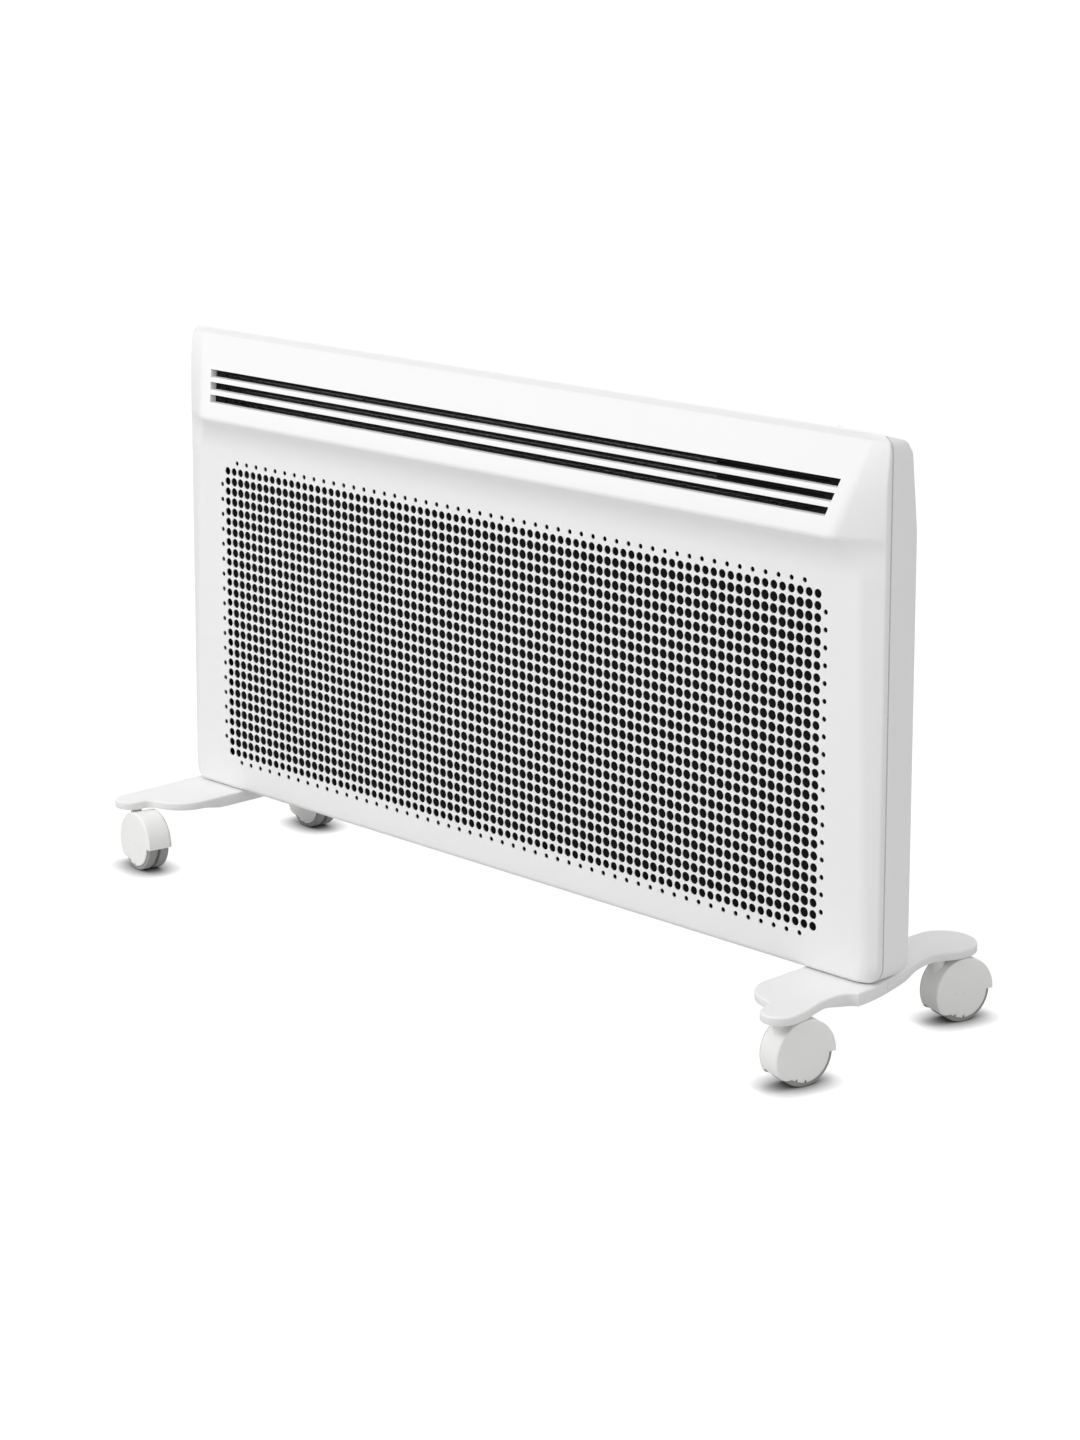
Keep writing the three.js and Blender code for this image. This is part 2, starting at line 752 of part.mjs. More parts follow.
function tiltSwitch() {
  const body = baySolid(-sideBayX, tiltSwitchRise, tiltSwitchSize);
  const can = alongY(round(-sideBayX, bodyBottom + tiltSwitchRise, tiltSwitchCanRadius, 10),
    housingInnerBack - tiltSwitchSize.y - sheet, housingInnerBack - sheet);
  return body.add(can);
}

// A bushing through the back, with a flange on each face.
function cordGland() {
  const inner = backY - housingWall - seatGap;
  const outer = backY + seatGap;
  const profile = [
    [glandBore, inner - glandFlange], [glandFlangeRadius, inner - glandFlange],
    [glandFlangeRadius, inner], [glandRadius, inner], [glandRadius, outer],
    [glandFlangeRadius, outer], [glandFlangeRadius, outer + glandFlange],
    [glandRadius, outer + glandTail], [glandBore, outer + glandTail],
    [glandBore, inner - glandFlange],
  ];
  const turn = new THREE.Matrix4()
    .makeBasis(bodyZ, bodyX, bodyY)
    .setPosition(sideBayX, 0, bodyBottom + glandRise);
  return moved(turned(profile, 14), turn);
}

// ---- Controls on the sloping top ---------------------------------------------------------

const controlPlace = new THREE.Matrix4();
{
  const middleY = housingFrontY + controlWidth / 2 + controlRim + housingWall / 2;
  const z = bodyBottom + housingTop - (middleY - seamY) * Math.tan(topSlope * degrees);
  controlPlace.makeRotationX(-topSlope * degrees).setPosition(controlX, middleY, z);
}

function controlOpening() {
  const halfLength = controlLength / 2 + seatGap;
  const halfWidth = controlWidth / 2 + seatGap;
  const tool = box([-halfLength, -halfWidth, -3 * housingWall], [halfLength, halfWidth, housingWall]);
  return moved(tool, controlPlace);
}

function buttonX(index) {
  return buttonFirstX + index * buttonPitch;
}

function stripHole(x, length, width, clearance) {
  return box([x - length / 2 - clearance, -width / 2 - clearance, -2 * controlThickness],
    [x + length / 2 + clearance, width / 2 + clearance, 2 * controlThickness]);
}

function controlPanel() {
  const body = box([-controlLength / 2, -controlWidth / 2, -controlThickness],
    [controlLength / 2, controlWidth / 2, seatGap + controlRimThickness / 2]);
  const rim = box([-controlLength / 2 - controlRim, -controlWidth / 2 - controlRim, seatGap],
    [controlLength / 2 + controlRim, controlWidth / 2 + controlRim, seatGap + controlRimThickness]);
  const holes = [
    stripHole(displayX, displayLength, displayWidth, seatGap),
    stripHole(rockerX, rockerLength, rockerWidth, rockerClearance - seatGap),
  ];
  for (let index = 0; index < buttonCount; index++) {
    holes.push(stripHole(buttonX(index), buttonLength, buttonWidth, seatGap));
  }
  return cut(body.add(rim), ...holes);
}

const boxTop = -controlThickness - seatGap - buttonFlangeThickness - buttonTravel - seatGap;

// The electronics hang upright under the strip, on two legs at its ends.
function controlBox() {
  const half = controlLength / 2;
  const leg = controlRim * 2;
  const lean = Math.tan(topSlope * degrees);
  const front = -controlWidth / 2;
  const back = front + controlBoxDepth;
  const low = boxTop - controlBoxDrop;
  const profile = shapeOf([
    [front - low * lean, low], [back - low * lean, low],
    [back - boxTop * lean, boxTop], [front - boxTop * lean, boxTop],
  ]);
  const legs = [-1, 1].map((side) =>
    box([Math.min(side * half, side * (half - leg)), front + leg, boxTop - leg],
      [Math.max(side * half, side * (half - leg)), -front, -controlThickness - seatGap]));
  return union(alongX(profile, -half, half), ...legs);
}

function displayWindow() {
  const glass = box([-displayLength / 2, -displayWidth / 2, -controlThickness],
    [displayLength / 2, displayWidth / 2, seatGap + controlRimThickness]);
  const stand = box([-displayLength / 4, -displayWidth / 4, boxTop + seatGap],
    [displayLength / 4, displayWidth / 4, -controlThickness / 2]);
  return glass.add(stand);
}

function button() {
  const cap = box([-buttonLength / 2, -buttonWidth / 2, -controlThickness - seatGap],
    [buttonLength / 2, buttonWidth / 2, seatGap + controlRimThickness + buttonProud]);
  const flangeTop = -controlThickness - seatGap;
  const flange = box(
    [-buttonLength / 2 - buttonFlange, -buttonWidth / 2 - buttonFlange, flangeTop - buttonFlangeThickness],
    [buttonLength / 2 + buttonFlange, buttonWidth / 2 + buttonFlange, flangeTop]);
  return cap.add(flange);
}

// A dipped rocker, drawn level about its pivot.
function rocker() {
  const half = rockerLength / 2;
  const shape = new THREE.Shape();
  shape.moveTo(-half, -rockerHeight * 0.6);
  shape.lineTo(half, -rockerHeight * 0.6);
  shape.lineTo(half, rockerHeight);
  shape.quadraticCurveTo(0, rockerHeight * 0.3, -half, rockerHeight);
  return alongY(shape, -rockerWidth / 2, rockerWidth / 2, 5);
}

function addControls() {
  const strip = new THREE.Group();
  strip.applyMatrix4(controlPlace);
  heater.add(strip);
  addPiece('control_panel', controlPanel(), moulding, strip);
  addPiece('control_box', controlBox(), blackPlastic, strip);
  addPiece('display_window', displayWindow(), blackPlastic, strip).position.x = displayX;
  for (let index = 0; index < buttonCount; index++) {
    const name = `button_${index + 1}`;
    addPiece(name, button(), moulding, strip).position.x = buttonX(index);
  }
  const switchMesh = addPiece('power_rocker', rocker(), blackPlastic, strip);
  switchMesh.position.x = rockerX;
  switchMesh.rotation.y = (rockerThrow / 2) * degrees;
}

// ---- Feet --------------------------------------------------------------------------------

// The foot's outline from above, for the side given as 1 (right) or -1 (left).
function footOutline(side) {
  const shape = new THREE.Shape();
  const curve = (a, b, c, d, e, f) => shape.bezierCurveTo(a, b, c, d, e, f);
  const frontInX = frontPadX - frontPadRadius;
  const frontOutX = frontPadX + frontPadRadius;
  const rearInX = rearPadX - rearPadRadius;
  const rearOutX = rearPadX + rearPadRadius;
  const neckX = footOuterX - footNeckInset;
  const neckY = frontPadY + footNeck;
  const swellY = frontPadY + footSwell;
  const hipX = footOuterX - footHipInset;
  const hipY = rearPadY - footHip;
  const mix = THREE.MathUtils.lerp;
  shape.moveTo(footInnerX, frontPadY + footInnerFront);
  curve(mix(footInnerX, frontInX, 0.53), frontPadY + footInnerFront * 0.92,
    frontInX, frontPadY + footInnerFront * 0.53, frontInX, frontPadY);
  shape.absarc(frontPadX, frontPadY, frontPadRadius, Math.PI, 2 * Math.PI);
  curve(frontOutX, mix(frontPadY, neckY, 0.42), neckX, mix(frontPadY, neckY, 0.6), neckX, neckY);
  curve(neckX, mix(neckY, swellY, 0.55), mix(neckX, footOuterX, 0.33), mix(neckY, swellY, 0.89),
    footOuterX, swellY);
  curve(mix(footOuterX, hipX, -0.12), mix(swellY, hipY, 0.32),
    mix(footOuterX, hipX, 0.88), mix(swellY, hipY, 0.73), hipX, hipY);
  curve(hipX, mix(hipY, rearPadY, 0.42), rearOutX, mix(hipY, rearPadY, 0.53), rearOutX, rearPadY);
  shape.absarc(rearPadX, rearPadY, rearPadRadius, 0, Math.PI);
  curve(rearInX, rearPadY - footInnerRear * 0.4,
    mix(footInnerX, rearInX, 0.73), rearPadY - footInnerRear * 0.77,
    footInnerX, rearPadY - footInnerRear);
  const outline = shape.getPoints(5);
  return outline.map((point) => new THREE.Vector2(point.x * side, point.y));
}

// The same outline, moved inwards by a wall.
function insetOutline(points, wall) {
  const closed = points.filter((point, i) => i === 0 || point.distanceTo(points[i - 1]) > 1e-6);
  if (closed[0].distanceTo(closed[closed.length - 1]) < 1e-6) closed.pop();
  const turnWay = Math.sign(THREE.ShapeUtils.area(closed));
  return closed.map((point, i) => {
    const before = closed[(i + closed.length - 1) % closed.length];
    const after = closed[(i + 1) % closed.length];
    const inwards = after.clone().sub(before).normalize();
    const normal = new THREE.Vector2(-inwards.y, inwards.x).multiplyScalar(turnWay * wall);
    return point.clone().add(normal);
  });
}

// The foot seen from the side: thin at the pads, deeper under the body.
function footSide() {
  const rimBottom = footTop - padRim;
  const skirtBottom = footTop - footSkirt;
  const end = footHalfLength + footWall;
  const skirt = rimLength + rimRamp;
  const profile = shapeOf([
    [-end, rimBottom], [frontStemY + rimLength, rimBottom], [frontStemY + skirt, skirtBottom],
    [rearStemY - skirt, skirtBottom], [rearStemY - rimLength, rimBottom], [end, rimBottom],
    [end, footTop], [-end, footTop],
  ]);
  return alongX(profile, -bodyWidth, bodyWidth);
}

function stemPlaces(side) {
  return [[side * frontStemX, frontStemY], [side * rearStemX, rearStemY]];
}

function foot(side) {
  const outline = footOutline(side);
  const outer = alongZ(new THREE.Shape(outline), 0, footTop).intersect(footSide());
  const hollow = alongZ(new THREE.Shape(insetOutline(outline, footWall)), 0, footTop - footPlate);
  const low = footTop - padRim + seatGap;
  const sockets = stemPlaces(side).map(([x, y]) =>
    alongZ(round(x, y, socketRadius, 12), low, footTop - footPlate / 2));
  const bores = stemPlaces(side).map(([x, y]) =>
    alongZ(bore(x, y, stemRadius + seatGap, 8), 0, stemTop + seatGap));
  const rib = box(
    [Math.min(side * footInnerX, side * footOuterX), -footWall / 2, footTop - padRim],
    [Math.max(side * footInnerX, side * footOuterX), footWall / 2, footTop - footPlate / 2],
  ).intersect(outer);
  const screwHoles = screwPlaces(side).map(([x, y]) =>
    alongZ(bore(x, y, screwRadius + seatGap, 8), 0, bodyBottom));
  return cut(union(cut(outer, hollow), ...sockets, rib), ...bores, ...screwHoles);
}

// A pan head under the foot's plate, with its shank up in the housing's boss.
function footScrew(x, y) {
  const seat = footTop - footPlate - seatGap;
  const profile = [
    [0, seat - screwHead], [screwHeadRadius * 0.8, seat - screwHead], [screwHeadRadius, seat],
    [screwRadius, seat], [screwRadius, seat + screwLength], [0, seat + screwLength],
  ];
  return moved(turned(profile, 10), new THREE.Matrix4().setPosition(x, y, 0));
}

function addFeet() {
  const names = { '-1': 'left', '1': 'right' };
  for (const side of [-1, 1]) {
    addPiece(`foot_${names[side]}`, foot(side), moulding);
    addPiece(`foot_screw_${names[side]}_front`, footScrew(side * screwX, screwFrontY), steel);
    addPiece(`foot_screw_${names[side]}_rear`, footScrew(side * screwX, screwRearY), steel);
  }
}

// ---- Castors -----------------------------------------------------------------------------

// A castor is drawn with its stem on the Z axis, its axle along X and its wheels behind, at +Y.

const axleHeight = wheelRadius * Math.cos(Math.PI / wheelSides); // stands on flats of the tread
const hoodRadius = wheelRadius + wheelClearance + hoodWall;
const wheelInnerX = treadGap / 2;
const wheelOuterX = wheelInnerX + wheelTread;
const hoodHalfWidth = wheelOuterX + seatGap;

function disc(shape, radius, sides, x0, x1) {
  return alongX(shape(trail, axleHeight, radius, sides), x0, x1);
}

// A slice of a disc about the axle, between two angles.
function pie(radius, fromAngle, toAngle, x0, x1) {
  const shape = new THREE.Shape();
  shape.moveTo(trail, axleHeight);
  shape.absarc(trail, axleHeight, radius, fromAngle * degrees, toAngle * degrees);
  return alongX(shape, x0, x1, 10);
}

// The moulded hood: a barrel over both wheels, a web between them and the stem's boss.
function hood() {
  const shell = pie(hoodRadius, hoodRearAngle, hoodFrontAngle, -hoodHalfWidth, hoodHalfWidth);
  const boss = alongZ(round(0, 0, bossRadius, 12), axleHeight, bossTop);
  const pocket = wheelRadius + wheelClearance;
  const far = hoodHalfWidth + coverThickness;
  const pockets = [[webHalfWidth, far], [-far, -webHalfWidth]].map(([x0, x1]) =>
    disc(bore, pocket, 22, x0, x1));
  const hub = disc(round, hubPlateRadius, 16, -hubPlateHalfWidth, hubPlateHalfWidth);
  const stemBore = alongZ(bore(0, 0, stemRadius + seatGap, 8), stemBottom - seatGap, bossTop + seatGap);
  const axleBore = disc(bore, axleRadius + seatGap, 8, -far, far);
  return cut(cut(shell.add(boss), ...pockets).add(hub), stemBore, axleBore);
}

function wheelSolid() {
  const dishX = wheelInnerX + wheelDish;
  const inside = wheelRadius - wheelRim;
  const bore = axleRadius + seatGap;
  const profile = [
    [bore, dishX], [inside, dishX], [inside, wheelInnerX], [wheelRadius, wheelInnerX],
    [wheelRadius, wheelOuterX], [bore, wheelOuterX], [bore, dishX],
  ];
  return turned(profile, wheelSides);
}

// The wheel's turned axis is laid along X, towards the side given, with a flat at the bottom.
function wheelPlace(side) {
  const flatTurn = new THREE.Matrix4().makeRotationZ(Math.PI / wheelSides);
  const lay = new THREE.Matrix4().makeRotationY((side * Math.PI) / 2);
  return new THREE.Matrix4().setPosition(0, trail, axleHeight).multiply(lay).multiply(flatTurn);
}

function axle() {
  return disc(round, axleRadius, 8, -wheelOuterX, wheelOuterX);
}

function stem() {
  return alongZ(round(0, 0, stemRadius, 8), stemBottom, stemTop);
}

// A side cover: full radius where the hood runs, smaller below, with small notches at the bottom.
function sideCover(side) {
  const shape = new THREE.Shape();
  const place = (radius, angle) => [
    trail + radius * Math.cos(angle * degrees), axleHeight + radius * Math.sin(angle * degrees),
  ];
  shape.moveTo(...place(coverLowRadius, hoodRearAngle));
  shape.lineTo(...place(hoodRadius, hoodRearAngle));
  shape.absarc(trail, axleHeight, hoodRadius, hoodRearAngle * degrees, hoodFrontAngle * degrees);
  shape.lineTo(...place(coverLowRadius, hoodFrontAngle + 22));
  for (const angle of [hoodFrontAngle + 34, hoodFrontAngle + 58]) {
    shape.lineTo(...place(coverLowRadius, angle - 4));
    shape.lineTo(...place(coverLowRadius - coverNotch, angle));
    shape.lineTo(...place(coverLowRadius, angle + 4));
  }
  const lowEnd = 360 + hoodRearAngle;
  shape.absarc(trail, axleHeight, coverLowRadius, (hoodFrontAngle + 66) * degrees, lowEnd * degrees);
  const near = side * (hoodHalfWidth + seatGap);
  const far = near + side * coverThickness;
  return alongX(shape, Math.min(near, far), Math.max(near, far), 7);
}

const sideNames = { '1': 'outer', '-1': 'inner' };

function addCastor(corner, x, y, swivel) {
  const castor = new THREE.Group();
  castor.position.set(x, y, 0);
  castor.rotation.z = swivel * degrees;
  heater.add(castor);
  addPiece(`castor_${corner}_stem`, stem(), steel, castor);
  addPiece(`castor_${corner}_hood`, hood(), hoodPlastic, castor);
  addPiece(`castor_${corner}_axle`, axle(), steel, castor);
  for (const side of [1, -1]) {
    const wheel = moved(wheelSolid(), wheelPlace(side));
    addPiece(`castor_${corner}_wheel_${sideNames[side]}`, wheel, greyTyre, castor);
    addPiece(`castor_${corner}_cover_${sideNames[side]}`, sideCover(side), hoodPlastic, castor);
  }
}

// ---- The whole heater --------------------------------------------------------------------

addPiece('front_cover', frontCover(), paint);
addPiece('louvre_insert', louvreInsert(), blackEnamel);
addPiece('rear_housing', rearHousing(), housingPaint);
addPiece('radiant_panel', radiantPanel(), blackEnamel);
addPiece('heat_shield', heatShield(), aluminium);
addPiece('heating_element', heatingElement(), aluminium);
addPiece('element_bracket_left', elementBracket(-1), steel);
addPiece('element_bracket_right', elementBracket(1), steel);
addPiece('overheat_cutout', overheatCutout(), ceramic);
addPiece('terminal_block', terminalBlock(), ceramic);
addPiece('tilt_switch', tiltSwitch(), blackPlastic);
addPiece('cord_gland', cordGland(), blackPlastic);
addControls();
addFeet();
addCastor('front_right', frontStemX, frontStemY, swivelFrontRight);
addCastor('rear_right', rearStemX, rearStemY, swivelRearRight);
addCastor('front_left', -frontStemX, frontStemY, swivelFrontLeft);
addCastor('rear_left', -rearStemX, rearStemY, swivelRearLeft);

export default heater;
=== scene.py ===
"""A slim panel convector heater on castor feet: its looks, light and camera.

Shapes are in millimetres in the object's own frame, and become metres when a mesh is made.
Lights and the camera are placed in metres. Angles named here are in degrees.
"""
import math

import bmesh
import bpy
import numpy as np
from mathutils import Matrix, Vector


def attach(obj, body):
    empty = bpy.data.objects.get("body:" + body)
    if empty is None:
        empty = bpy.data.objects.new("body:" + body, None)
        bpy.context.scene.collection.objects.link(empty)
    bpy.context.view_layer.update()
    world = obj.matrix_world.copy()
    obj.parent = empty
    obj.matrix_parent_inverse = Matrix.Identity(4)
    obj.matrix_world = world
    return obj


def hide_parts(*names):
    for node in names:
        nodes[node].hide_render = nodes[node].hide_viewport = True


MM = 0.001

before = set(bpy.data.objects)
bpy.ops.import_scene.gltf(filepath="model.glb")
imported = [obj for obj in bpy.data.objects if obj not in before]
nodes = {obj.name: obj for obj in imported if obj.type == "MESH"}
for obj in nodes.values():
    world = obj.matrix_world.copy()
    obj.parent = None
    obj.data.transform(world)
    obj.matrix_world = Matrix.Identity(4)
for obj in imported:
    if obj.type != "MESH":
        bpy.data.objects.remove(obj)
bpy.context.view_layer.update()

# ---- Sizes, as the solids have them ----------------------------------------------------

BODY_BOTTOM = 60.8
BODY_WIDTH = 814.0
BODY_HEIGHT = 421.5
CORNER = 13.0
PANEL_Y = -26.5
COVER_DEPTH = 11.2
HOUSING_DEPTH = 33.5
SEAM_Y = PANEL_Y + COVER_DEPTH
BACK_Y = SEAM_Y + HOUSING_DEPTH
SEAM_GAP = 0.3

# the header, tilted back from its lip, and the hollow ledge under it
LIP_HEIGHT = BODY_HEIGHT - 79.5
LIP_PROUD = 13.2
LIP_ROUND = 5.0
LEDGE_HEIGHT = 29.0
LEDGE_STEPS = (0.72, 0.6, 0.5, 0.4, 0.3, 0.2, 0.1, 0.0)
LEDGE_FOOT = LIP_HEIGHT - LEDGE_HEIGHT
HEADER_TILT = 16.7
HEADER_SLOPE = math.tan(math.radians(HEADER_TILT))
HEADER_REACH = 8.0  # of the header's straight part that is drawn beyond a rounded edge
LAND = 2.4  # level part between the header's top and the seam
LAND_ROUND = 3.0
TOP_RETURN, TOP_ROUND = 2.2, 2.0

# half widths of the flat face, inside the side bevels
HEADER_HALF_AT_LIP = BODY_WIDTH / 2 - 38.0
HEADER_HALF_AT_TOP = BODY_WIDTH / 2 - 15.0
FIELD_HALF_HIGH = BODY_WIDTH / 2 - 20.0
FIELD_HALF_LOW = BODY_WIDTH / 2 - 9.0
FACE_BORDER = 9.0  # least width of flat face outside the cut part
BEVEL_ROUND = 24.0
SIDE_FLAT, SIDE_ROUND = 4.0, 6.0
BOTTOM_ROUND = 8.0
TURN_IN, TURN_BACK = 1.2, 0.3  # the sheet's edge at the seam

SLOT_MIDDLES = (381.4, 370.7, 360.0)
SLOT_HEIGHT = 6.8
SLOT_END_MARGIN = 13.4
SLOT_DEPTH = 6.5
SILL_ROUND = 2.0
SILL_SHARE = 0.9
CRISP = 0.05

# the perforated field: a plate let into the cover's face
FIELD_MIDDLE = 165.0
COLUMNS, ROWS = 80, 29
PITCH_X, PITCH_Z = 8.79, 9.27
HOLE_RADIUS = 4.02
EDGE_HOLE_RADIUS = 3.6
DOT_RADIUS = 2.2
DOT_STEP = 1.49  # in pitches, as the next three are
DOT_OFFSET = 0.9
DOT_FIRST_ACROSS = 1.5
DOT_FIRST_UP = 1.4
SHEET = 0.8
PLATE_HALF_X = BODY_WIDTH / 2 - 37.0
PLATE_HALF_Z = 147.0
HOLE_SIDES = 16
DOT_SIDES = 8

NEAR = 1e-6
WELD = 0.005
SHARP = 30.0

# ---- Mesh helpers ----------------------------------------------------------------------

MOST_OF_SIDE = 0.49  # share of a side that one rounded corner may use
NEARLY_STRAIGHT = 1e-3


def rounded(corners, steps=6, closed=False):
    """A polyline through (a, b, radius) corners, each rounded by an arc of that radius."""
    points = []
    count = len(corners)
    for i, (a, b, radius) in enumerate(corners):
        here = np.array([a, b], float)
        if radius <= 0 or (not closed and i in (0, count - 1)):
            points.append(here)
            continue
        before = np.array(corners[i - 1][:2], float) - here
        after = np.array(corners[(i + 1) % count][:2], float) - here
        reach = MOST_OF_SIDE * min(np.linalg.norm(before), np.linalg.norm(after))
        if reach < NEAR:
            points.extend([here] * (steps + 1))
            continue
        before /= np.linalg.norm(before)
        after /= np.linalg.norm(after)
        half = math.acos(np.clip(before @ after, -1, 1)) / 2
        if half > math.pi / 2 - NEARLY_STRAIGHT:
            points.extend([here] * (steps + 1))
            continue
        cut = min(radius / math.tan(half), reach)
        middle = (before + after) / np.linalg.norm(before + after)
        centre = here + middle * cut / math.cos(half)
        start = here + before * cut - centre
        end = here + after * cut - centre
        turn = math.atan2(start[0] * end[1] - start[1] * end[0], start @ end)
        for k in range(steps + 1):
            c, s = math.cos(turn * k / steps), math.sin(turn * k / steps)
            points.append(centre + np.array([start[0] * c - start[1] * s,
                                             start[0] * s + start[1] * c]))
    return points


def round_loss(distance, radius):
    """How much a rounded corner takes off at a distance from the edge."""
    if distance >= radius:
        return 0.0
    reach = radius - max(distance, 0)
    return radius - math.sqrt(radius * radius - reach * reach)


class Builder:
    """Collects vertices, in millimetres, and faces."""

    def __init__(self):
        self.verts = []
        self.faces = []

    def add(self, points):
        first = len(self.verts)
        self.verts.extend([tuple(float(v) for v in p) for p in points])
        return list(range(first, len(self.verts)))

    def face(self, *indices):
        self.faces.append(tuple(indices))

    def grid(self, rows, keep=None, flip=False):
        """Quads between rows of points; keep(row, column) says which cells are made."""
        ids = [self.add(row) for row in rows]
        for r in range(len(rows) - 1):
            for c in range(len(rows[0]) - 1):
                if keep is None or keep(r, c):
                    quad = (ids[r][c], ids[r][c + 1], ids[r + 1][c + 1], ids[r + 1][c])
                    self.face(*(quad[::-1] if flip else quad))
        return ids

    def tube(self, rings, caps=True):
        """Closed rings of points joined into a tube."""
        ids = self.grid([list(loop) + [loop[0]] for loop in rings])
        if caps:
            self.face(*ids[0][:-1][::-1])
            self.face(*ids[-1][:-1])

    def make(self, name, place=Matrix(), outward=True):
        """The mesh as an object, welded, smooth but for its sharp edges."""
        mesh = bpy.data.meshes.new(name)
        verts = [(place @ Vector(v)) * MM for v in self.verts]
        mesh.from_pydata(verts, [], self.faces)
        bm = bmesh.new()
        bm.from_mesh(mesh)
        bmesh.ops.remove_doubles(bm, verts=bm.verts, dist=WELD * MM)
        if outward:
            bmesh.ops.recalc_face_normals(bm, faces=bm.faces)
        for face in bm.faces:
            face.smooth = True
        bm.to_mesh(mesh)
        bm.free()
        mesh.set_sharp_from_angle(angle=math.radians(SHARP))
        obj = bpy.data.objects.new(name, mesh)
        bpy.context.scene.collection.objects.link(obj)
        return obj


def apply_modifiers(obj):
    bpy.context.view_layer.update()
    depsgraph = bpy.context.evaluated_depsgraph_get()
    mesh = bpy.data.meshes.new_from_object(obj.evaluated_get(depsgraph))
    old = obj.data
    obj.modifiers.clear()
    obj.data = mesh
    bpy.data.meshes.remove(old)
    mesh.set_sharp_from_angle(angle=math.radians(SHARP))


def combine(obj, operation, *tools):
    """Joins solids to the piece, or takes them away, and removes them."""
    for tool in tools:
        step = obj.modifiers.new("combine", "BOOLEAN")
        step.object = tool
        step.operation = operation
        step.solver = "EXACT"
    apply_modifiers(obj)
    for tool in tools:
        bpy.data.objects.remove(tool)
    return obj


def ring(x, y, z, radius, sides=48, upright=True):
    """A circle of points round an upright axis, or round one along Y."""
    points = []
    for k in range(sides):
        turn = 2 * math.pi * k / sides
        a, b = radius * math.cos(turn), radius * math.sin(turn)
        points.append((x + a, y + b, z) if upright else (x + a, y, z + b))
    return points


def box(build, low, high):
    loop = [(low[0], low[1]), (high[0], low[1]), (high[0], high[1]), (low[0], high[1])]
    build.tube([[(x, y, z) for x, y in loop] for z in (low[2], high[2])])


def rod(name, rings, place=Matrix()):
    build = Builder()
    build.tube(rings)
    return build.make(name, place)


def settle(obj, body, slot, material, *replaced):
    """Gives a new piece its material and its body, and hides the nodes that it stands for."""
    obj.data.materials.clear()
    obj.data.materials.append(material)
    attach(obj, body)
    if replaced:
        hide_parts(*replaced)


# ---- Materials -------------------------------------------------------------------------

ROUGHNESS_SPREAD = 0.06
GRAIN_STRENGTH = 0.12
GRAIN_HEIGHT = 0.0002  # in metres
CLOUD_LOW, CLOUD_HIGH = 0.3, 0.7
CLOUD_DETAIL, GRAIN_DETAIL = 4.0, 3.0


def node(tree, kind, inputs=(), **settings):
    made = tree.nodes.new(kind)
    for key, value in settings.items():
        setattr(made, key, value)
    for key, value in dict(inputs).items():
        made.inputs[key].default_value = value
    return made


def linear(level):
    """An 8-bit display level as a linear value."""
    s = level / 255
    return s / 12.92 if s <= 0.04045 else ((s + 0.055) / 1.055) ** 2.4


def colour(red, green, blue):
    return (linear(red), linear(green), linear(blue), 1)


def surface(name, base, shade, roughness, grain=1.0, grain_scale=700, cloud_scale=6,
            metallic=0.0, stretch=(1, 1, 1), **sockets):
    """Paint or plastic: a faint cloudy tint, uneven gloss and a fine grain in the surface."""
    mat = bpy.data.materials.new(name)
    mat.use_nodes = True
    tree = mat.node_tree
    shader = tree.nodes["Principled BSDF"]
    shader.inputs["Metallic"].default_value = metallic
    for key, value in sockets.items():
        shader.inputs[key.replace("_", " ")].default_value = value
    place = node(tree, "ShaderNodeTexCoord")
    mapping = node(tree, "ShaderNodeMapping", {"Scale": stretch})
    tree.links.new(place.outputs["Object"], mapping.inputs["Vector"])
    cloud = node(tree, "ShaderNodeTexNoise", {"Scale": cloud_scale, "Detail": CLOUD_DETAIL})
    tint = node(tree, "ShaderNodeMix", {"A": base, "B": shade}, data_type="RGBA")
    fine = node(tree, "ShaderNodeTexNoise", {"Scale": grain_scale, "Detail": GRAIN_DETAIL})
    gloss = node(tree, "ShaderNodeMapRange", {
        "From Min": CLOUD_LOW, "From Max": CLOUD_HIGH,
        "To Min": roughness - ROUGHNESS_SPREAD, "To Max": roughness + ROUGHNESS_SPREAD})
    bump = node(tree, "ShaderNodeBump", {"Strength": GRAIN_STRENGTH * grain,
                                         "Distance": GRAIN_HEIGHT})
    for texture in (cloud, fine):
        tree.links.new(mapping.outputs["Vector"], texture.inputs["Vector"])
    tree.links.new(cloud.outputs["Fac"], tint.inputs["Factor"])
    tree.links.new(tint.outputs["Result"], shader.inputs["Base Color"])
    tree.links.new(cloud.outputs["Fac"], gloss.inputs["Value"])
    tree.links.new(gloss.outputs["Result"], shader.inputs["Roughness"])
    tree.links.new(fine.outputs["Fac"], bump.inputs["Height"])
    tree.links.new(bump.outputs["Normal"], shader.inputs["Normal"])
    return mat


PAINT = surface("white_powder_coat", colour(243, 243, 244), colour(240, 240, 241), 0.42)
HOUSING_PAINT = surface("housing_powder_coat", colour(243, 243, 243), colour(240, 240, 240),
                        0.46, grain=1.2)
MOULDING = surface("white_moulding", colour(240, 240, 240), colour(237, 237, 236), 0.36,
                   grain=0.8, grain_scale=1400)
CASTOR_PLASTIC = surface("castor_moulding", colour(246, 246, 244), colour(242, 242, 240), 0.34,
                         grain=0.7, grain_scale=1500)
WHEEL_PLASTIC = surface("grey_wheel", colour(160, 160, 160), colour(150, 150, 150), 0.5,
                        grain=1.2, grain_scale=1600)
BLACK_ENAMEL = surface("black_enamel", colour(9, 9, 9), colour(6, 6, 6), 0.85, grain=1.5,
                       Specular_IOR_Level=0.25)
BLACK_PLASTIC = surface("black_plastic", colour(34, 34, 35), colour(28, 28, 29), 0.45)
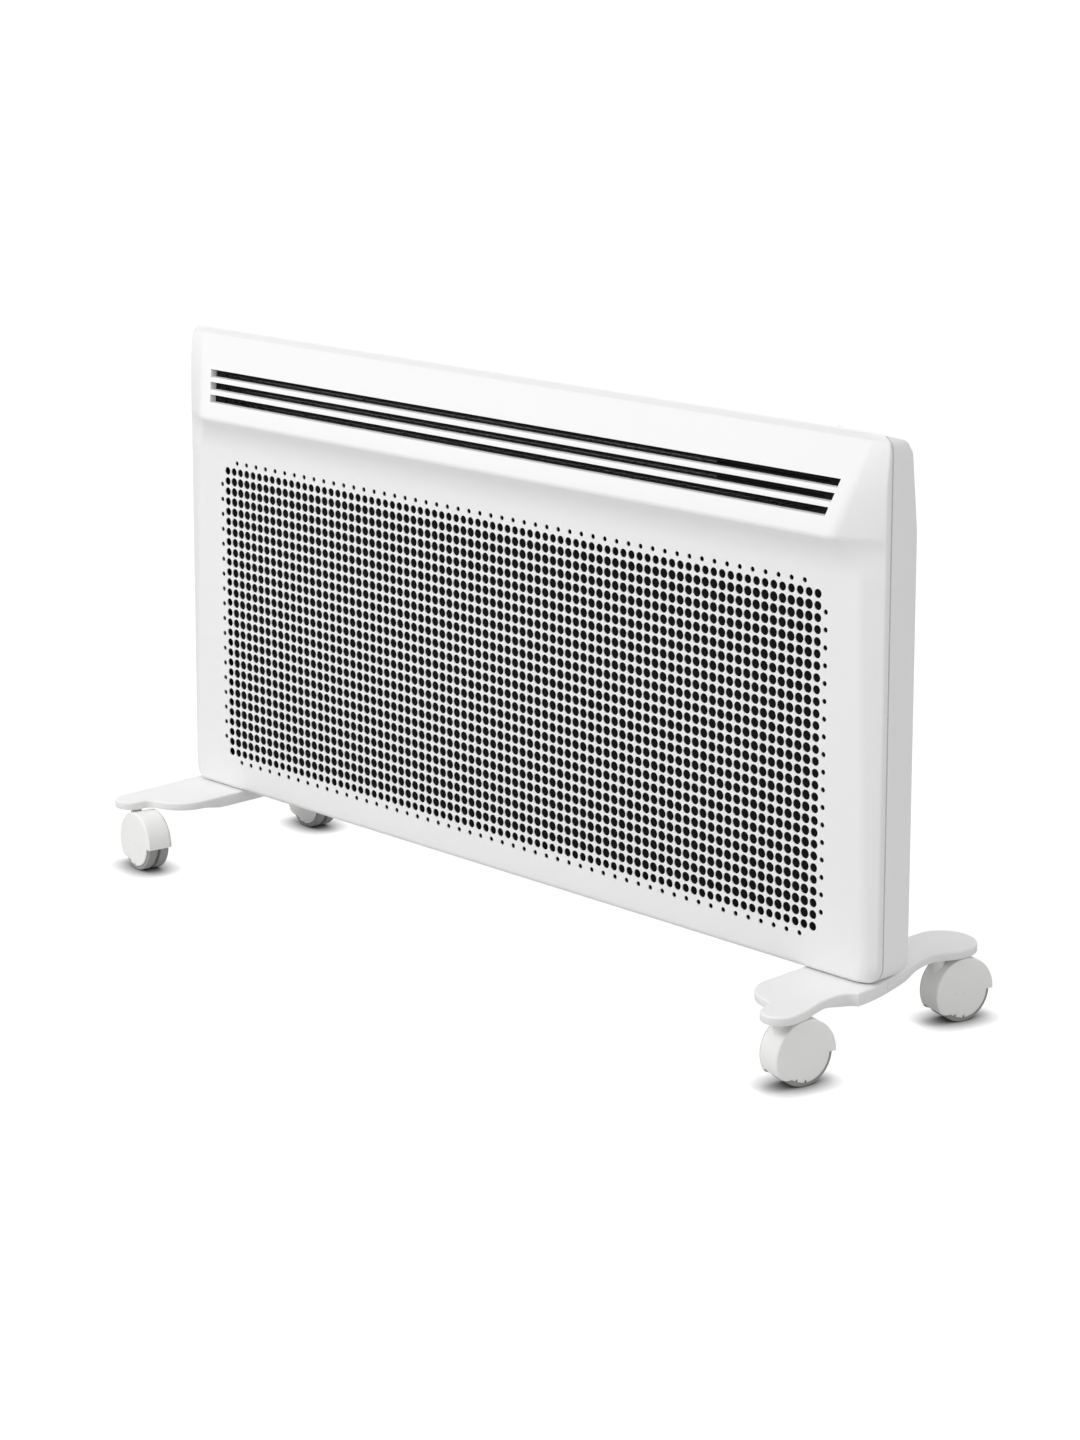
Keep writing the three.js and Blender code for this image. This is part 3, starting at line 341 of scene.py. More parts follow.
ALUMINIUM = surface("aluminium_sheet", colour(198, 200, 203), colour(188, 190, 194), 0.38,
                    metallic=1.0, stretch=(0.1, 1, 1), grain_scale=900)
STEEL = surface("zinc_plated_steel", colour(188, 190, 193), colour(176, 179, 184), 0.32,
                metallic=1.0, cloud_scale=60)
CERAMIC = surface("cream_ceramic", colour(226, 220, 205), colour(216, 210, 194), 0.6)
GLASS = surface("display_glass", colour(14, 14, 15), colour(11, 11, 12), 0.08, grain=0.1)

# ---- Front cover -----------------------------------------------------------------------


def half_width(height):
    edge = min(height, BODY_HEIGHT - height)
    return BODY_WIDTH / 2 - round_loss(edge, CORNER)


def header_y(height):
    return PANEL_Y - LIP_PROUD + (height - LIP_HEIGHT) * HEADER_SLOPE


def face_half(height):
    """Half the width of the flat face, up to the side bevels."""
    if height >= LIP_HEIGHT:
        up = (height - LIP_HEIGHT) / (BODY_HEIGHT - LIP_HEIGHT)
        return HEADER_HALF_AT_LIP + up * (HEADER_HALF_AT_TOP - HEADER_HALF_AT_LIP)
    if height > LEDGE_FOOT:
        up = (height - LEDGE_FOOT) / LEDGE_HEIGHT
        up = up * up * (3 - 2 * up)
        return FIELD_HALF_HIGH + up * (HEADER_HALF_AT_LIP - FIELD_HALF_HIGH)
    up = height / LEDGE_FOOT
    return FIELD_HALF_LOW + up * (FIELD_HALF_HIGH - FIELD_HALF_LOW)


def plate_half(height):
    """Half the width inside which the face is cut: the plate's edge, then the slots' ends."""
    at_lip = HEADER_HALF_AT_LIP - SLOT_END_MARGIN
    if height >= LIP_HEIGHT:
        return face_half(height) - SLOT_END_MARGIN
    up = max(height - LEDGE_FOOT, 0) / LEDGE_HEIGHT
    return PLATE_HALF_X + up * (at_lip - PLATE_HALF_X)


def cover_profile():
    """(y, height) down the cover's middle, from the seam at the top to the seam below."""
    land = SEAM_Y - LAND
    land_height = LIP_HEIGHT + (land - PANEL_Y + LIP_PROUD) / HEADER_SLOPE
    slot_rows = []
    for middle in SLOT_MIDDLES:
        low = middle - SLOT_HEIGHT / 2
        slot_rows += [middle + SLOT_HEIGHT / 2, low, low - SILL_ROUND]
    start = land_height - HEADER_REACH
    head = rounded([(SEAM_Y, BODY_HEIGHT, 0), (SEAM_Y - TOP_RETURN, BODY_HEIGHT, TOP_ROUND),
                    (land, land_height, LAND_ROUND), (header_y(start), start, 0)])
    rows = [(header_y(h), h) for h in slot_rows]
    ledge = [(PANEL_Y - LIP_PROUD * t * t, LIP_HEIGHT - LEDGE_HEIGHT * (1 - t))
             for t in LEDGE_STEPS]
    above = LIP_HEIGHT + HEADER_REACH
    lip = rounded([(header_y(above), above, 0), (PANEL_Y - LIP_PROUD, LIP_HEIGHT, LIP_ROUND),
                   (*ledge[0], 0)], steps=10)
    top = FIELD_MIDDLE + PLATE_HALF_Z
    low = FIELD_MIDDLE - PLATE_HALF_Z
    foot = rounded([(PANEL_Y, CORNER, 0), (PANEL_Y, 0, BOTTOM_ROUND), (SEAM_Y, 0, 0)], steps=8)
    return head + rows + lip + ledge[1:] + [(PANEL_Y, top), (PANEL_Y, low)] + foot


def cover_row(y, height):
    """A row of points across the cover, from seam to seam."""
    half = half_width(height)
    loss = BODY_WIDTH / 2 - half
    face = face_half(height) - loss
    plate = min(plate_half(height), face - FACE_BORDER)
    side = max(SEAM_Y - SIDE_FLAT, (y + SEAM_Y) / 2)
    right = rounded([(plate, y, 0), (face, y, BEVEL_ROUND), (half, side, SIDE_ROUND),
                     (half, SEAM_Y, 0)], steps=9)
    left = [(-x, v) for x, v in reversed(right)]
    return [(x, v, BODY_BOTTOM + height) for x, v in left + right]


def holed_cell(build, x0, x1, z0, z1, cx, cz, radius, sides):
    """A rectangle of sheet with a round hole: front, back and the hole's wall."""
    quarter = sides // 4
    start = -math.pi * 0.75
    circle = [(cx + radius * math.cos(start + 2 * math.pi * k / sides),
               cz + radius * math.sin(start + 2 * math.pi * k / sides)) for k in range(sides)]
    corners = [(x0, z0), (x1, z0), (x1, z1), (x0, z1)]
    ids = {}
    for y in (PANEL_Y, PANEL_Y + SHEET):
        ids[y] = (build.add([(x, y, z) for x, z in corners]),
                  build.add([(x, y, z) for x, z in circle]))
        outer, inner = ids[y]
        for k in range(4):
            part = [inner[(k * quarter + j) % sides] for j in range(quarter, -1, -1)]
            loop = [outer[k], outer[(k + 1) % 4]] + part
            build.face(*(loop if y == PANEL_Y else loop[::-1]))
    front, back = ids[PANEL_Y][1], ids[PANEL_Y + SHEET][1]
    for k in range(sides):
        n = (k + 1) % sides
        build.face(front[k], front[n], back[n], back[k])


def plain_cell(build, x0, x1, z0, z1):
    """A rectangle of sheet without a hole."""
    for y, way in ((PANEL_Y, 1), (PANEL_Y + SHEET, -1)):
        build.face(*build.add([(x0, y, z0), (x1, y, z0), (x1, y, z1), (x0, y, z1)])[::way])


def dot_places(count, first):
    """Places of the small dots along a side, in pitches from its middle."""
    span = (count - 1) - 2 * first
    steps = round(span / DOT_STEP)
    return [-span / 2 + span * k / steps for k in range(steps + 1)]


def perforated_plate(build):
    """The holes in their columns and rows, with the small dots round them."""
    z_mid = BODY_BOTTOM + FIELD_MIDDLE
    half_x, half_z = COLUMNS * PITCH_X / 2, ROWS * PITCH_Z / 2
    for i in range(COLUMNS):
        cx = (i - (COLUMNS - 1) / 2) * PITCH_X
        for j in range(ROWS):
            cz = z_mid + (j - (ROWS - 1) / 2) * PITCH_Z
            edge = i in (0, COLUMNS - 1) or j in (0, ROWS - 1)
            holed_cell(build, cx - PITCH_X / 2, cx + PITCH_X / 2,
                       cz - PITCH_Z / 2, cz + PITCH_Z / 2, cx, cz,
                       EDGE_HOLE_RADIUS if edge else HOLE_RADIUS, HOLE_SIDES)
    across = [p * PITCH_X for p in dot_places(COLUMNS, DOT_FIRST_ACROSS)]
    reach_x = (across[1] - across[0]) / 2
    up = [p * PITCH_Z for p in dot_places(ROWS, DOT_FIRST_UP)]
    reach_z = (up[1] - up[0]) / 2
    dot_z = half_z + (DOT_OFFSET - 0.5) * PITCH_Z
    dot_x = half_x + (DOT_OFFSET - 0.5) * PITCH_X
    for way in (-1, 1):
        z0, z1 = sorted((z_mid + way * half_z, z_mid + way * PLATE_HALF_Z))
        for x in across:
            holed_cell(build, x - reach_x, x + reach_x, z0, z1, x, z_mid + way * dot_z,
                       DOT_RADIUS, DOT_SIDES)
        end = across[-1] + reach_x
        plain_cell(build, -PLATE_HALF_X, -end, z0, z1)
        plain_cell(build, end, PLATE_HALF_X, z0, z1)
        x0, x1 = sorted((way * half_x, way * PLATE_HALF_X))
        for z in up:
            holed_cell(build, x0, x1, z_mid + z - reach_z, z_mid + z + reach_z,
                       way * dot_x, z_mid + z, DOT_RADIUS, DOT_SIDES)
        end = up[-1] + reach_z
        plain_cell(build, x0, x1, z_mid - half_z, z_mid - end)
        plain_cell(build, x0, x1, z_mid + end, z_mid + half_z)


def slot_walls(build, index):
    """The slot's upper wall, its rounded or crisp sill, and its two slanted ends."""
    middle = SLOT_MIDDLES[index]
    low, high = middle - SLOT_HEIGHT / 2, middle + SLOT_HEIGHT / 2
    rounds = index < len(SLOT_MIDDLES) - 1
    start = low - SILL_ROUND
    sill = rounded([(header_y(start), start, 0),
                    (header_y(low), low, SILL_ROUND * SILL_SHARE if rounds else CRISP),
                    (header_y(low) + SLOT_DEPTH, low, 0)], steps=8)
    upper = [(header_y(high), high), (header_y(high) + SLOT_DEPTH, high)]

    def span(points):
        return [[(side * plate_half(h), y, BODY_BOTTOM + h) for side in (-1, 1)]
                for y, h in points]

    build.grid(span(sill))
    build.grid(span(upper), flip=True)
    loop = sill + upper[::-1]
    for side in (-1, 1):
        end = build.add([(side * plate_half(h), y, BODY_BOTTOM + h) for y, h in loop])
        build.face(*end[::-side])


def front_cover():
    build = Builder()
    profile = cover_profile()
    rows = [cover_row(y, h) for y, h in profile]
    middle = len(rows[0]) // 2 - 1
    top = FIELD_MIDDLE + PLATE_HALF_Z

    def keep(r, c):
        if c != middle:
            return True
        upper, lower = profile[r][1], profile[r + 1][1]
        if abs(upper - top) < NEAR:
            return False
        for m in SLOT_MIDDLES:
            high, low = m + SLOT_HEIGHT / 2, m - SLOT_HEIGHT / 2 - SILL_ROUND
            if lower < high - NEAR and upper > low + NEAR:
                return False
        return True

    build.grid(rows, keep, flip=True)
    for column in (0, -1):
        edge = [row[column] for row in rows]
        inner = [(x * (1 - TURN_IN / abs(x)), y - TURN_BACK, z) for x, y, z in edge]
        build.grid([edge, inner], flip=column == 0)
    for index in range(len(SLOT_MIDDLES)):
        slot_walls(build, index)
    perforated_plate(build)
    skin = build.make("front_cover_skin", outward=False)
    settle(skin, "heater", "white_paint", PAINT, "front_cover")


# ---- Rear housing ----------------------------------------------------------------------

HOUSING_FRONT = SEAM_Y + SEAM_GAP
HOUSING_TOP = BODY_HEIGHT - 1.8
HOUSING_WALL = 2.0
TOP_TILT = 14
TOP_FALL = math.tan(math.radians(TOP_TILT))
TOP_DEPTH = 17.0
GROOVE = 1.2  # shadow line behind the cover's edge

# the section from the sloping top down the back: places and the rounds of its corners
BROW_REACH, BROW_DROP, BROW_ROUND = 4.0, 1.0, 7.0
LEAN_DEPTH, LEAN_DROP, LEAN_ROUND = 27.0, 11.0, 10.0
SHOULDER_HEIGHT, SHOULDER_ROUND = 345.0, 50.0
HEEL_ROUND = 6.0
BACK_ROUND = 5.0
ROW_STEP, DENSE_ABOVE = 3, 400
LEAST_DEPTH = 0.4

# openings, and how far each cutter stands out of the wall and into it
INLETS, INLET_PITCH, INLET_LENGTH, INLET_WIDTH = 12, 54.0, 44.0, 3.8
INLET_ROW_PITCH = 9.0
HOOK_X, HOOK_LENGTH, HOOK_HEIGHT = 220.0, 28.0, 3.6
HOOK_RISES = (90.0, 290.0)
GLAND_X, GLAND_RISE = BODY_WIDTH / 2 - 23, 40.0
GLAND_HOLE, GLAND_SIDES = 7.3, 40
SCREW_X, SCREW_Y = BODY_WIDTH / 2 - 45, (-7.0, 7.0)
SCREW_HOLE, SCREW_SIDES = 2.7, 16
BELOW, ABOVE_FLOOR_WALL, ABOVE_SCREW = 3, 5, 8
BEHIND, INTO_BACK = 3, 5
GLAND_IN, GLAND_OUT = 6, 4
CONTROL_IN, CONTROL_OUT = 8, 4

CONTROL_X = BODY_WIDTH / 2 - 107
CONTROL_LENGTH = 138.0
CONTROL_WIDTH = 11.0
CONTROL_SETBACK = 2.5
CAP_FROM, CAP_LOWER = 1.0, 1.3


def control_place():
    """The control strip's frame: its middle, with Z square to the sloping top."""
    y = HOUSING_FRONT + CONTROL_WIDTH / 2 + CONTROL_SETBACK
    z = BODY_BOTTOM + HOUSING_TOP - (y - SEAM_Y) * TOP_FALL
    tilt = Matrix.Rotation(math.radians(-TOP_TILT), 4, "X")
    return Matrix.Translation(Vector((CONTROL_X, y, z))) @ tilt


def housing_profile():
    """(y, height) from the seam over the top, down the back and under to the seam."""
    slope_end = HOUSING_TOP - TOP_DEPTH * TOP_FALL
    return rounded([
        (HOUSING_FRONT, HOUSING_TOP, 0),
        (SEAM_Y + TOP_DEPTH + BROW_REACH, slope_end - BROW_DROP, BROW_ROUND),
        (SEAM_Y + LEAN_DEPTH, slope_end - LEAN_DROP, LEAN_ROUND),
        (BACK_Y, SHOULDER_HEIGHT, SHOULDER_ROUND), (BACK_Y, 0, HEEL_ROUND),
        (HOUSING_FRONT, 0, 0)], steps=8)


def housing_rows(wall):
    """Rows of points across the housing, on its outside or a wall's thickness inside."""
    rows = []
    profile = housing_profile()
    dense = []
    for (y0, h0), (y1, h1) in zip(profile, profile[1:]):
        at_corner = min(h0, h1) < CORNER or max(h0, h1) > DENSE_ABOVE
        pieces = max(1, int(abs(h1 - h0) // ROW_STEP)) if at_corner else 1
        dense += [(y0 + (y1 - y0) * k / pieces, h0 + (h1 - h0) * k / pieces)
                  for k in range(pieces)]
    dense.append(profile[-1])
    for y, h in dense:
        half = half_width(min(max(h, 0), BODY_HEIGHT)) - wall
        back = max(y - wall, HOUSING_FRONT + LEAST_DEPTH)
        z = BODY_BOTTOM + min(max(h, wall), HOUSING_TOP - wall)
        lip = min(HOUSING_FRONT + GROOVE, (back + HOUSING_FRONT) / 2)
        right = rounded([(0, back, 0), (half, back, BACK_ROUND), (half, lip, 0),
                         (half - GROOVE, lip, 0), (half - GROOVE, HOUSING_FRONT, 0)], steps=7)
        left = [(-x, v) for x, v in reversed(right[1:])]
        rows.append([(x, v, z) for x, v in left + right])
    return rows


def rear_housing():
    build = Builder()
    outer, inner = housing_rows(0.0), housing_rows(HOUSING_WALL)
    build.grid(outer)
    build.grid(inner, flip=True)
    for edge in (0, -1):
        build.grid([[row[edge] for row in outer], [row[edge] for row in inner]])
        build.grid([outer[edge], inner[edge]])
    obj = build.make("rear_housing_shell")
    cutters = Builder()
    for low, high in housing_cuts():
        box(cutters, low, high)
    for side in (-1, 1):
        for y in SCREW_Y:
            cutters.tube([ring(side * SCREW_X, y, BODY_BOTTOM + z, SCREW_HOLE, SCREW_SIDES)
                          for z in (-BELOW, ABOVE_SCREW)])
    cutters.tube([ring(GLAND_X, BACK_Y + y, BODY_BOTTOM + GLAND_RISE, GLAND_HOLE,
                       GLAND_SIDES, upright=False) for y in (-GLAND_IN, GLAND_OUT)])
    opening = Builder()
    box(opening,
        (-CONTROL_LENGTH / 2 - SEAM_GAP, -CONTROL_WIDTH / 2 - SEAM_GAP, -CONTROL_IN),
        (CONTROL_LENGTH / 2 + SEAM_GAP, CONTROL_WIDTH / 2 + SEAM_GAP, CONTROL_OUT))
    combine(obj, "DIFFERENCE", cutters.make("housing_cutters"),
            opening.make("control_opening", control_place()))
    settle(obj, "heater", "white_paint", HOUSING_PAINT, "rear_housing")


def housing_cuts():
    """Boxes for the cold air inlets and the hook slots."""
    cuts = []
    for row in (-1, 1):
        y0 = (HOUSING_FRONT + BACK_Y - INLET_WIDTH + row * INLET_ROW_PITCH) / 2
        for k in range(INLETS):
            x0 = (k - (INLETS - 1) / 2) * INLET_PITCH - INLET_LENGTH / 2
            cuts.append(((x0, y0, BODY_BOTTOM - BELOW),
                         (x0 + INLET_LENGTH, y0 + INLET_WIDTH, BODY_BOTTOM + ABOVE_FLOOR_WALL)))
    for side in (-1, 1):
        for rise in HOOK_RISES:
            x0 = side * HOOK_X - HOOK_LENGTH / 2
            z0 = BODY_BOTTOM + rise
            cuts.append(((x0, BACK_Y - INTO_BACK, z0),
                         (x0 + HOOK_LENGTH, BACK_Y + BEHIND, z0 + HOOK_HEIGHT)))
    return cuts


# ---- Feet ------------------------------------------------------------------------------

FOOT_TOP = 60.5
FOOT_HALF_LENGTH = 128.0
FOOT_PLATE = 2.6
FOOT_WALL = 3.0
PAD_RIM = 7.0
FOOT_SKIRT = 10.5
FOOT_EDGE = 1.6
RIM_LENGTH, RIM_RAMP = 36.0, 26.0
FRONT_PAD_X, FRONT_PAD_RADIUS = BODY_WIDTH / 2 - 18.5, 15.0
REAR_PAD_X, REAR_PAD_RADIUS = BODY_WIDTH / 2 - 34, 26.0
FRONT_PAD_Y = -110.0
REAR_PAD_Y = FOOT_HALF_LENGTH - REAR_PAD_RADIUS
FOOT_INNER_X = BODY_WIDTH / 2 - 71
FOOT_OUTER_X = BODY_WIDTH / 2 - 2
FOOT_NECK, FOOT_NECK_INSET = 50.0, (9.0, 1.5)
FOOT_SWELL = 70.0
FOOT_HIP, FOOT_HIP_INSET = 38.0, 17.0
INNER_FRONT, INNER_REAR = 44.0, 60.0
CORNER_LEADS = ((0, 32), (4, 24))  # curve of the inner corner, from the inner side and the pad
CUT_START, CUT_LEAD, PAD_LEAD = (13, 17), (24, 9), 12
LOW_EDGE = ((0.6, 0.0), (0.2, 0.2), (0.0, 0.6))
STEM_CLEARANCE = 0.3
SOCKET_CHAMFER = 0.5
FRONT_STEM = (BODY_WIDTH / 2 - 21, -107.5)
REAR_STEM = (BODY_WIDTH / 2 - 26, REAR_PAD_Y - 15.5)
STEM_RADIUS = 2.5
SOCKET_RADIUS = 7.0


def mix(a, b, share):
    return a + (b - a) * share


def bend(p0, p1, p2, p3, steps=14):
    """Points along a cubic curve, without the last."""
    p0, p1, p2, p3 = (np.array(p, float) for p in (p0, p1, p2, p3))
    points = []
    for k in range(steps):
        t = k / steps
        s = 1 - t
        points.append(s ** 3 * p0 + 3 * s * s * t * p1 + 3 * s * t * t * p2 + t ** 3 * p3)
    return points


def arc(x, y, radius, start, end, steps=40):
    return [np.array([x + radius * math.cos(mix(start, end, k / steps)),
                      y + radius * math.sin(mix(start, end, k / steps))]) for k in range(steps)]


def foot_outline(side):
    """A foot from above, drawn as the right one; the left one has hardly any neck."""
    front_in, front_out = FRONT_PAD_X - FRONT_PAD_RADIUS, FRONT_PAD_X + FRONT_PAD_RADIUS
    rear_in, rear_out = REAR_PAD_X - REAR_PAD_RADIUS, REAR_PAD_X + REAR_PAD_RADIUS
    front, rear = FRONT_PAD_Y, REAR_PAD_Y
    neck = (FOOT_OUTER_X - FOOT_NECK_INSET[side < 0], front + FOOT_NECK)
    swell = (FOOT_OUTER_X, front + FOOT_SWELL)
    hip = (FOOT_OUTER_X - FOOT_HIP_INSET, rear - FOOT_HIP)
    inner_front = (FOOT_INNER_X, front + INNER_FRONT)
    inner_rear = (FOOT_INNER_X, rear - INNER_REAR)
    corner = [(FOOT_INNER_X + x, front + y) for x, y in CORNER_LEADS]
    cut = (FOOT_INNER_X + CUT_START[0], front + CUT_START[1])
    return [
        *bend(inner_front, *corner, cut),
        *bend(cut, (FOOT_INNER_X + CUT_LEAD[0], front + CUT_LEAD[1]),
              (front_in, front + PAD_LEAD), (front_in, front)),
        *arc(FRONT_PAD_X, front, FRONT_PAD_RADIUS, math.pi, 2 * math.pi),
        *bend((front_out, front), (front_out, mix(front, neck[1], 0.42)),
              (neck[0], mix(front, neck[1], 0.6)), neck),
        *bend(neck, (neck[0], mix(neck[1], swell[1], 0.55)),
              (mix(neck[0], swell[0], 0.33), mix(neck[1], swell[1], 0.89)), swell),
        *bend(swell, (mix(swell[0], hip[0], -0.12), mix(swell[1], hip[1], 0.32)),
              (mix(swell[0], hip[0], 0.88), mix(swell[1], hip[1], 0.73)), hip),
        *bend(hip, (hip[0], mix(hip[1], rear, 0.42)), (rear_out, mix(hip[1], rear, 0.53)),
              (rear_out, rear)),
        *arc(REAR_PAD_X, rear, REAR_PAD_RADIUS, 0, math.pi),
        *bend((rear_in, rear), (rear_in, rear - INNER_REAR * 0.4),
              (mix(FOOT_INNER_X, rear_in, 0.73), rear - INNER_REAR * 0.77), inner_rear),
        *bend(inner_rear, (FOOT_INNER_X - 2, inner_rear[1] - 8),
              (FOOT_INNER_X, inner_rear[1] - 12), (FOOT_INNER_X, inner_rear[1] - 20)),
        *bend((FOOT_INNER_X, inner_rear[1] - 20), (FOOT_INNER_X, inner_rear[1] - 30),
              (FOOT_INNER_X, inner_front[1] + 30), (FOOT_INNER_X, inner_front[1] + 16), 6),
        *bend((FOOT_INNER_X, inner_front[1] + 16), (FOOT_INNER_X, inner_front[1] + 10),
              (FOOT_INNER_X, inner_front[1] + 5), inner_front, 6),
    ]


def inset(points, distance):
    """An outline moved inwards, each point along the mean of its sides' normals."""
    moved = []
    for i, here in enumerate(points):
        before = here - points[i - 1]
        after = points[(i + 1) % len(points)] - here
        along = before / np.linalg.norm(before) + after / np.linalg.norm(after)
        along /= np.linalg.norm(along)
        moved.append(here + distance * np.array([-along[1], along[0]]))
    return moved


def foot_bottom(y):
    """The height of the foot's lower edge: low under the body, thin at the pads."""
    rim, skirt = FOOT_TOP - PAD_RIM, FOOT_TOP - FOOT_SKIRT
    behind = (y - FRONT_STEM[1] - RIM_LENGTH) / RIM_RAMP
    ahead = (REAR_STEM[1] - RIM_LENGTH - y) / RIM_RAMP
    down = min(max(min(behind, ahead), 0), 1)
    down = down * down * (3 - 2 * down)
    return mix(rim, skirt, down)


def foot(side):
    """A moulded foot, hollow underneath, with two stem sockets and a rib."""
    build = Builder()
    outline = foot_outline(side)
    if side < 0:
        outline = [np.array([-x, y]) for x, y in reversed(outline)]
    edge = [(FOOT_EDGE * (1 - math.sin(a)), FOOT_TOP - FOOT_EDGE * (1 - math.cos(a)))
            for a in (math.pi / 2 * k / 6 for k in range(6, -1, -1))]
    rings = []
    for inwards, up in LOW_EDGE:
        moved = inset(outline, inwards) if inwards else outline
        rings.append([(x, y, foot_bottom(y) + up) for x, y in moved])
    for inwards, z in edge:
        moved = inset(outline, inwards) if inwards else outline
        rings.append([(x, y, z) for x, y in moved])
    under = inset(outline, FOOT_WALL)
    inner = [[(x, y, foot_bottom(y)) for x, y in under],
             [(x, y, FOOT_TOP - FOOT_PLATE) for x, y in under]]
    build.tube([inner[1], inner[0]] + rings)
    obj = build.make("foot_" + ("left" if side < 0 else "right") + "_moulding")
    inside = Builder()
    for x, y in (FRONT_STEM, REAR_STEM):
        low, high = FOOT_TOP - PAD_RIM + STEM_CLEARANCE, FOOT_TOP - FOOT_PLATE
        hole = STEM_RADIUS + STEM_CLEARANCE
        inside.tube([ring(side * x, y, high, hole), ring(side * x, y, low, hole),
                     ring(side * x, y, low, SOCKET_RADIUS - SOCKET_CHAMFER),
                     ring(side * x, y, low + SOCKET_CHAMFER, SOCKET_RADIUS),
                     ring(side * x, y, high, SOCKET_RADIUS)], caps=False)
    x0, x1 = sorted((side * (FOOT_INNER_X + FOOT_WALL), side * (FOOT_OUTER_X - FOOT_WALL)))
    box(inside, (x0, -FOOT_WALL / 2, FOOT_TOP - PAD_RIM),
        (x1, FOOT_WALL / 2, FOOT_TOP - FOOT_PLATE))
    join(obj, inside.make("foot_inside"))
    node_name = "foot_left" if side < 0 else "foot_right"
    settle(obj, "heater", "white_moulding", MOULDING, node_name)


def join(obj, *others):
    """Adds other meshes to the piece's own, as they are."""
    bm = bmesh.new()
    for part in (obj, *others):
        bm.from_mesh(part.data)
    for face in bm.faces:
        face.smooth = True
    bm.to_mesh(obj.data)
    bm.free()
    obj.data.set_sharp_from_angle(angle=math.radians(SHARP))
    for part in others:
        bpy.data.objects.remove(part)


# ---- Castors ---------------------------------------------------------------------------

# Drawn with the stem on Z, the axle along X and the wheels behind it, then turned and moved.
CIRCLE = 360
TRAIL = 17.0
AXLE_HEIGHT = 25.0 * math.cos(math.pi / 20)
TREAD_RADIUS = AXLE_HEIGHT
TREAD = 8.4
TREAD_GAP = 3.2
WHEEL_OUTER_X = TREAD_GAP / 2 + TREAD
AXLE_BORE = 2.6
POCKET_RADIUS = 25.9
HOOD_RADIUS = 27.3
CLEARANCE = 0.2
HOOD_HALF = WHEEL_OUTER_X + CLEARANCE
HOOD_FROM, HOOD_TO = -2.0, 210.0
HOOD_WAVE = 9.0
HOOD_EDGE = 0.5
HOOD_STEPS, BARREL_PIECES = 96, 14
WEB_HALF = 1.2
WEB_FROM = 16.0
HUB_RADIUS, HUB_HALF = 19.6, 3.0
BOSS_RADIUS, BOSS_TOP = 4.8, 53.0
STEM_FROM, STEM_TO = 46.6, 59.0
BOSS_EDGE, BOSS_EDGE_MIDDLE = 0.6, 0.17
BORE_SIDES = 32
COVER_NEAR = HOOD_HALF + CLEARANCE
COVER_THICKNESS = 1.6
COVER_LOW_RADIUS = 21.2
COVER_NOTCH = 2.0
COVER_ROUND = 1.25
COVER_CROWN = 0.35
COVER_INSET = 0.1
CROWN_SHARES = (0.85, 0.65, 0.4, 0.15)
COVER_FALL = 22  # from the hood's end to the low part of the rim
NOTCH_ANGLES, NOTCH_HALF_ANGLE = (34, 58), 4
NOTCH_STEPS = (-1, -0.6, -0.25, 0, 0.25, 0.6, 1)
LOW_FROM = 66
MARKS = ((0.0, 1.5), (-9.0, 0.8))  # place along the disc, and half size
MARK_HEIGHT = 0.3
RIM_DEPTH, DISH_DEPTH = 4.2, 2.4

# the stem's place, and how far the castor is swivelled
CASTORS = {
    "front_right": (FRONT_STEM[0], FRONT_STEM[1], -13),
    "rear_right": (REAR_STEM[0], REAR_STEM[1], -15),
    "front_left": (-FRONT_STEM[0], FRONT_STEM[1], -99),
    "rear_left": (-REAR_STEM[0], REAR_STEM[1], -97),
}


def about_axle(x, radius, degrees):
    """A point at a radius and an angle round the axle."""
    angle = math.radians(degrees)
    return (x, TRAIL + radius * math.cos(angle), AXLE_HEIGHT + radius * math.sin(angle))


def turned(outline, steps):
    """Rings of points round the axle, one for each (x, radius)."""
    return [[about_axle(x, r, CIRCLE * k / steps) for k in range(steps)] for x, r in outline]


